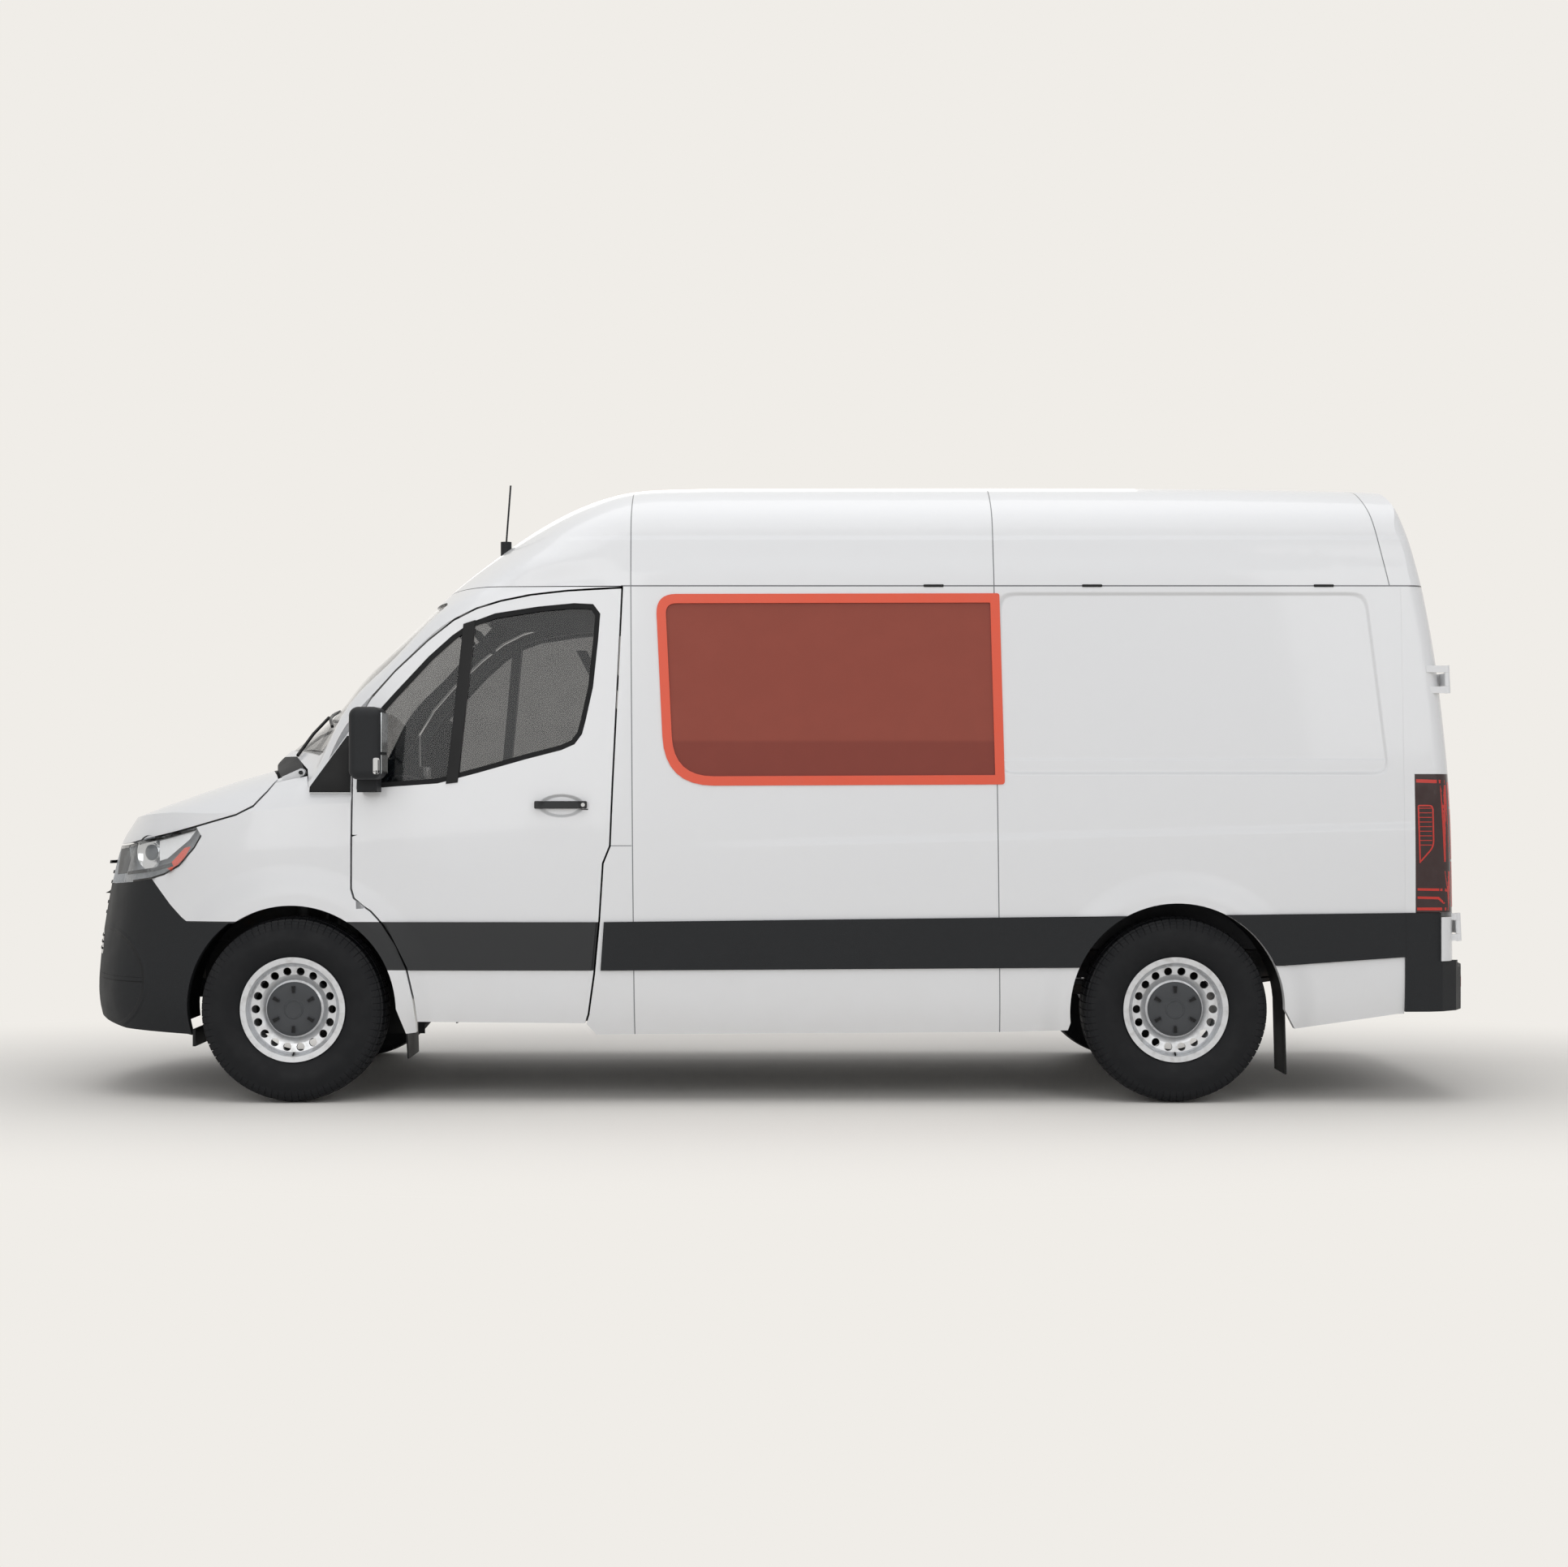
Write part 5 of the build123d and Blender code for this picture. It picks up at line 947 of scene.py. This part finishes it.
bowl = spun([(0, 73), (-3, 70), (-10, 62), (-18, 48), (-20, 40), (-14, 38), (-14, 34)], (0, 0, 0), outward=-1)
both("headlampProjectorRing", place(bowl, lamp["at"], lamp["turn"], lamp["deep"]), "body", chromed)
dome = spun([(-18, 35), (-8, 33), (-2, 22), (1, 10), (2, 0.2)], (0, 0, 0), outward=-1)
both("headlampProjector", place(dome, lamp["at"], lamp["turn"], lamp["deep"]), "body",
    makeGloss("smokedProjectorGlass", "#5C6166", 0.04), "clear_glass")
both("headlampReflector", onSide(lamp["reflector"], 14, 9, lampSkin, 25), "body",
    makeGloss("whiteLampReflector", "#FAFBFC", 0.2), "wheel_steel")
both("turnLamp", onSide(lamp["amber"], 8, 4, lampSkin, 20), "body", amberLens)
brow = shapes["lampTop"]
brow = brow + [(x - 4, z - 13) for x, z in reversed(brow)]
both("headlampBrow", onSide(brow, 1.5, -0.8, lampSkin, 30), "body", glossBlack)
sill = shapes["lampBottom"]
sill = sill + [(x - 3, z + 7) for x, z in reversed(sill)]
both("headlampSill", onSide(sill, 1.5, -0.8, lampSkin, 20), "body", glossBlack)

lampBar = [(-2700, 938), (-2560, 955), (-2470, 978), (-2478, 994), (-2560, 972), (-2700, 952)]
both("headlampBar", onSide(lampBar, 6, 2.8, lampSkin, 20), "body", glossBlack)
shade = [(-2790, 1046), (-2712, 1056), (-2690, 1000), (-2706, 944), (-2780, 934)]
both("headlampShade", onSide(shade, 9, 5, lampSkin, 15), "body", darkPlastic)

# Tail lamps: light guides on the dark cover
guides = {
    "topBar": [(2690, 1342), (2812, 1338), (2812, 1324), (2690, 1328)],
    "rearBarUpper": [(2790, 1316), (2818, 1318), (2830, 1000), (2804, 1000)],
    "rearBarLower": [(2806, 962), (2832, 960), (2838, 812), (2824, 812), (2820, 868)],
    "footBar": [(2690, 812), (2824, 812), (2824, 800), (2690, 800)],
    "lowerGuide": [(2692, 892), (2812, 890), (2836, 866), (2830, 862), (2808, 880), (2692, 882)],
    "lowestGuide": [(2692, 858), (2780, 856), (2808, 830), (2802, 826), (2776, 846), (2692, 848)],
}
for name, points in guides.items():
    both("tail_" + name, onSide(points, 1.2, -0.5, tailSkin, 20), "body", lightGuide)
loop = rounded([(2694, 1236), (2760, 1236), (2762, 1062), (2700, 992)], [10, 20, 26, 4], 4)
both("tail_innerLoop", hug(band(loop, grow(loop, -6), 1.2, -0.5, 20), tailSkin), "body", lightGuide)
for index in range(9):
    z = 1222 - index * 19
    both("tail_tick%d" % (index + 1), onSide(rect(2700, 2752, z - 1.5, z + 1.5), 1.0, -0.4, tailSkin, 30),
        "body", lightGuide)
for index, (z0, z1) in enumerate(((1228, 1330), (1010, 1218), (812, 1000))):
    strip = onEnd(rect(-952, -925, z0, z1, 6), -0.5, 1.0, tailSkin, True, 20)
    both("tail_backBar%d" % (index + 1), strip, "body", lightGuide)

# Nose: slats, a bare badge place, the intake and its slats
for index, z in enumerate((762, 806, 850, 894, 938, 982)):
    half = 352 + (z - 735) * 0.20
    finishPiece("grilleSlat%d" % (index + 1), onEnd(rect(-half, half, z - 7, z + 7, 3), 2, -7, frontSkin,
        step=50, edge=1.5), "body", glossBlack)
finishPiece("badgePlace", onEnd(rounded([(-78, 822), (78, 822), (78, 952), (-78, 952)], 60, 8), 2, -8,
    frontSkin, step=30, edge=2), "body", darkPlastic)
finishPiece("lowerIntake", onEnd(rounded([(-560, 590), (560, 590), (520, 690), (-520, 690)], 24, 4), 2, -1.2,
    frontSkin), "body", glossBlack)
for index, z in enumerate((612, 640, 668)):
    finishPiece("intakeSlat%d" % (index + 1), onEnd(rect(-520, 520, z - 4, z + 4), 2, -4, frontSkin), "body",
        darkPlastic)

# Painted shade: dark walls between the front wheels and the engine bay, and a dark flap ahead of each, put
# where the space behind and under the wheels lies in shade, to close the see-through gaps there
for name, low, high in (("archWallFront", (-2430, -492, 240), (-2095, -488, 640)),
    ("archWallRear", (-1825, -492, 240), (-1480, -488, 640)),
                        ("archFlap", (-2388, -900, 228), (-2376, -560, 300))):
    both(name, boxPiece(low, high), "body", darkPlastic)

# Wipers
for index, (foot, tip, blade0, blade1) in enumerate((
        ((-600, 1436), (-330, 1600), (-640, 1560), (-60, 1640)),
        ((60, 1440), (330, 1600), (30, 1600), (600, 1600)))):
    def onScreen(y, z, out):
        x = depthAt(screenSkin, y, z, "front")
        return (x - out, y, z + out)
    arm = bar([onScreen(*foot, 8), onScreen((foot[0] + tip[0]) / 2, (foot[1] + tip[1]) / 2, 20),
        onScreen(*tip, 14)], 7)
    count = 8
    run = Vector(blade1) - Vector(blade0)
    points = [onScreen(*(Vector(blade0) + run * k / count), 8) for k in range(count + 1)]
    finishPiece("wiper%d" % (index + 1), joined(arm, bar(points, 7)), "body", darkPlastic)

# Tail: door handle, blank plate and its panel, high brake lamp, reflectors, tread
panel = onEnd(rect(70, 640, 900, 1070, 22), -2, 2.5, rearSkin, True, edge=1)
finishPiece("rearPlatePanel", panel, "rear_door_right", darkPlastic)
finishPiece("rearPlate", onEnd(rounded([(95, 922), (615, 922), (615, 1032), (95, 1032)], 8, 3), 2, 4.5,
    rearSkin, True), "rear_door_right",
            makeGloss("blankAluminiumPlate", "#EDEEEC", 0.35), "wheel_steel")
finishPiece("rearHandle", onEnd(rect(30, 70, 1110, 1290, 14), -2, 16,
    rearSkin, True, edge=4), "rear_door_right", darkPlastic)
finishPiece("highBrakeLamp", onEnd(rect(-180, 180, 2480, 2512, 10),
    -2, 3, rearSkin, True, edge=1), "body", lensRed)
both("bumperReflector", onEnd(rect(-820, -690, 470, 512, 8), 1, -1.2,
    rearSkin, True, step=30), "body", lightGuide)
tread = joined(*[boxPiece((2770, -660 + k * 44, 559), (2930, -640 + k * 44, 563)) for k in range(31)])
finishPiece("stepTread", tread, "body", blackPlastic)
print("body trim done")


# cab interior

cushionSettings = {"voxel": 0.014, "pressure": 4.0, "cap": 0.022, "frames": 20}


def cushion(name, bm, body):
    # stuffed piece: closed form swollen by the cloth solver, then smoothed
    settle = cushionSettings
    piece = finishPiece(name, bm, body, seatCloth)
    bpy.context.view_layer.objects.active = piece
    remesh = piece.modifiers.new("even", "REMESH")
    remesh.mode, remesh.voxel_size = "VOXEL", settle["voxel"]
    bpy.ops.object.modifier_apply(modifier="even")
    start = [v.co.copy() for v in piece.data.vertices]
    cloth = piece.modifiers.new("swell", "CLOTH")
    cloth.settings.use_pressure = True
    cloth.settings.uniform_pressure_force = settle["pressure"]
    cloth.settings.effector_weights.gravity = 0
    cloth.settings.quality = 4
    cloth.collision_settings.use_collision = False
    for step in range(1, settle["frames"] + 1):
        bpy.context.scene.frame_set(step)
    solved = piece.evaluated_get(bpy.context.evaluated_depsgraph_get()).data
    moved = [v.co.copy() for v in solved.vertices]
    piece.modifiers.remove(cloth)
    bpy.context.scene.frame_set(1)
    for v, a, b in zip(piece.data.vertices, start, moved):
        v.co = a + (b - a) * min(1.0, settle["cap"] / max((b - a).length, 1e-6))
    smooth = piece.modifiers.new("smooth", "SUBSURF")
    smooth.levels = smooth.render_levels = 1
    piece.data.shade_smooth()
    return piece


def blockShape(low, high, radius):
    bm = boxPiece(low, high)
    softEdges(bm, radius, 3)
    return bm


seatShape = {"y": 430, "back": [(-692, 985), (-596, 985), (-492, 1548), (-562, 1566)]}
for hand, side in sides.items():
    y = side * seatShape["y"]
    bm = blockShape((-1158, y - 226, 908), (-655, y + 226, 1014), 34)
    cushion("seatCushion_" + hand, bm, "body")
    bm = plate(seatShape["back"], y - 216, "side")
    thicken(bm, mm(0, 432, 0))
    softEdges(bm, 24, 3)
    cushion("seatBack_" + hand, bm, "body")
    bm = blockShape((-552, y - 118, 1600), (-468, y + 118, 1760), 26)
    cushion("headRest_" + hand, bm, "body")
    pillar = joined(bar([(-515, y - 50, 1530), (-505, y - 50, 1625)], 7),
        bar([(-515, y + 50, 1530), (-505, y + 50, 1625)], 7))
    finishPiece("headRestStalks_" + hand, pillar, "body", chromed)
    plinth = boxPiece((-1110, y - 180, 662), (-705, y + 180, 906))
    softEdges(plinth, 14, 2)
    base = finishPiece("seatBase_" + hand, plinth, "body", trimPlastic)
    if side < 0:
        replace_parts(base, "seats")
    # piping along the cushion's sides
    for edge in (-1, 1):
        line = [(-1120, y + edge * 165, 1012), (-1000, y + edge * 168, 1020), (-850, y + edge * 168, 1020),
            (-700, y + edge * 165, 1012)]
        finishPiece("seatPiping%d_%s" % (edge + 2, hand), bar(line, 4), "body", trimPlastic)
print("seats done")

# steering wheel boss and dash furniture
wheel = {"centre": (-1372, -430, 1236), "axis": Vector((0.5, 0, 0.866))}


def facing(bm, centre, axis):
    # a part spun about Y is turned to an axis and moved to its place
    turn = Vector((0, 1, 0)).rotation_difference(Vector(axis)).to_matrix()
    bmesh.ops.rotate(bm, verts=bm.verts, cent=(0, 0, 0), matrix=turn)
    bmesh.ops.translate(bm, verts=bm.verts, vec=mm(*centre))
    return bm


boss = spun([(-50, 55), (-20, 66), (-6, 68), (4, 60), (8, 40), (9, 0.2)], (0, 0, 0), steps=32)
finishPiece("steeringBoss", facing(boss, wheel["centre"], wheel["axis"]), "steering_wheel", darkPlastic)
binnacle = plate([(-1640, 1290), (-1600, 1362), (-1530, 1352), (-1500, 1300), (-1520, 1262), (-1600, 1262)],
    -570, "side")
thicken(binnacle, mm(0, 280, 0))
softEdges(binnacle, 14, 3)
finishPiece("instrumentBinnacle", binnacle, "body", trimPlastic)
screen = boxPiece((-1560, -130, 1262), (-1544, 130, 1400))
softEdges(screen, 5, 2)
finishPiece("centreScreen", screen, "body", glossBlack)
for index, y in enumerate((-760, -220, 220, 760)):
    vent = facing(spun([(0, 44), (6, 42), (6, 34), (1, 33), (1, 0.2)], (0, 0, 0), steps=28),
        (-1545, y, 1215), (0.94, 0, 0.30))
    finishPiece("airVent%d" % (index + 1), vent, "body", darkPlastic)
lever = joined(bar([(-1560, 0, 1130), (-1480, 0, 1190)], 9),
    facing(spun([(-18, 12), (-8, 22), (14, 20), (20, 0.2)], (0, 0, 0), steps=20), (-1478, 0, 1192),
    (0.8, 0, 0.6)))
finishPiece("gearLever", lever, "body", darkPlastic)

# roof lining, sun visors, door cards, arm rests and belts
lining = boxPiece((-1240, -800, 2062), (-600, 800, 2076))
finishPiece("cabShelf", lining, "body", trimPlastic)
for hand, side in sides.items():
    visor = boxPiece((-1390, side * 420 - 190, 1905), (-1376, side * 420 + 190, 2050))
    softEdges(visor, 5, 2)
    bmesh.ops.rotate(visor, verts=visor.verts, cent=mm(-1383, 0, 2050),
        matrix=Matrix.Rotation(math.radians(-38), 3, "Y"))
    finishPiece("sunVisor_" + hand, visor, "body", trimPlastic)
both("doorCard", onSide([(-1650, 900), (-1500, 700), (-760, 700), (-700, 1240), (-1000, 1330),
    (-1640, 1255)], 64, 52, leftSkin, 80), "front_door_{hand}", trimPlastic)
both("armRest", onSide(rect(-1250, -850, 1030, 1085, 20), 110, 62, leftSkin, 80, 8), "front_door_{hand}",
    darkPlastic)
for hand, side in sides.items():
    belt = [(-640, side * 870, 1880), (-600, side * 880, 1300), (-620, side * 882, 760)]
    bm = bar(belt, 3)
    bmesh.ops.scale(bm, vec=(7.5, 1, 1), space=Matrix.Translation(-mm(-620, 0, 0)), verts=bm.verts)
    finishPiece("seatBelt_" + hand, bm, "body", makeCloth("wovenSeatBelt_" + hand, "#1E2023", "#3B3D41"),
        "seat_cloth")
print("interior done")

# camera, light and floor

view = {"place": (0.077, -10.98, 1.324), "lens": 55.52, "ground": "#F0EDE8"}
camera = bpy.data.objects.new("camera", bpy.data.cameras.new("camera"))
camera.data.lens = view["lens"]
camera.data.sensor_width = 36.0
camera.location = view["place"]
camera.rotation_euler = (math.pi / 2, 0, 0)
bpy.context.scene.collection.objects.link(camera)
bpy.context.scene.camera = camera

lamps = [
    ("overhead", (0.0, -1.5, 7.5), (0, 0, 0), 9.0, 265),
    ("frontSoftbox", (-3.5, -9.0, 4.2), (0.0, 0, 1.2), 5.0, 135),
    ("rearSoftbox", (5.5, -8.0, 4.5), (0.5, 0, 1.2), 4.0, 80),
    ("farFill", (0.0, 9.0, 4.5), (0, 0, 1.2), 6.0, 120),
]
for name, place, target, size, power in lamps:
    lamp = bpy.data.lights.new(name, "AREA")
    lamp.shape, lamp.size, lamp.energy = "SQUARE", size, power
    holder = bpy.data.objects.new(name, lamp)
    holder.location = place
    holder.rotation_euler = (Vector(target) - Vector(place)).to_track_quat("-Z", "Y").to_euler()
    bpy.context.scene.collection.objects.link(holder)


def seenRays(tree):
    # one where the eye looks straight, by reflection or through glass
    ray = addNode(tree, "LightPath").node.outputs
    direct = addNode(tree, "Math", [ray["Is Camera Ray"], ray["Is Glossy Ray"]], operation="MAXIMUM")
    return addNode(tree, "Math", [direct, ray["Is Transmission Ray"]], operation="MAXIMUM")


world = bpy.data.worlds.new("studio")
world.use_nodes = True
bpy.context.scene.world = world
tree = world.node_tree
seen = seenRays(tree)
backdrop = addNode(tree, "Background", {"Color": linear(view["ground"]), "Strength": 1.0})
ambient = addNode(tree, "Background", {"Color": linear("#F4F5F7"), "Strength": 0.5})
mixed = addNode(tree, "MixShader", [seen, ambient, backdrop])
tree.links.new(mixed, tree.nodes["World Output"].inputs["Surface"])

# pale floor that fades into the backdrop away from the van and keeps its shadow
bm = bmesh.new()
bmesh.ops.create_grid(bm, x_segments=8, y_segments=8, size=40.0)
mesh = bpy.data.meshes.new("studioFloor")
bm.to_mesh(mesh)
bm.free()
floor = bpy.data.objects.new("studioFloor", mesh)
floor.location.z = -0.002
bpy.context.scene.collection.objects.link(floor)
material, tree, shader, coords = startMaterial("palePaperFloor")
xyz = addNode(tree, "SeparateXYZ", [coords]).node.outputs
rx = addNode(tree, "Math", [xyz[0], 4.2], operation="DIVIDE")
ry = addNode(tree, "Math", [xyz[1], 2.2], operation="DIVIDE")
ring = radiusOf(tree, rx, ry)
far = addNode(tree, "MapRange", [ring, 0.75, 1.5], interpolation_type="SMOOTHSTEP")
seen = seenRays(tree)
grain = addNode(tree, "TexNoise", {"Vector": coords, "Scale": 1.0 / 0.01, "Detail": 2.0})
setShader(shader, Base_Color=linear("#F2EFEA"), Roughness=0.9)
tree.links.new(addNode(tree, "Bump", {"Height": grain, "Distance": 0.0002}), shader.inputs["Normal"])
glow = addNode(tree, "Emission", {"Color": linear(view["ground"]), "Strength": 1.0})
fading = addNode(tree, "MixShader",
    [addNode(tree, "Math", [far, seen], operation="MULTIPLY"), shader.outputs[0], glow])
tree.links.new(fading, tree.nodes["Material Output"].inputs["Surface"])
floor.data.materials.append(material)
bpy.context.scene.view_settings.view_transform = "Standard"
print("studio ready")
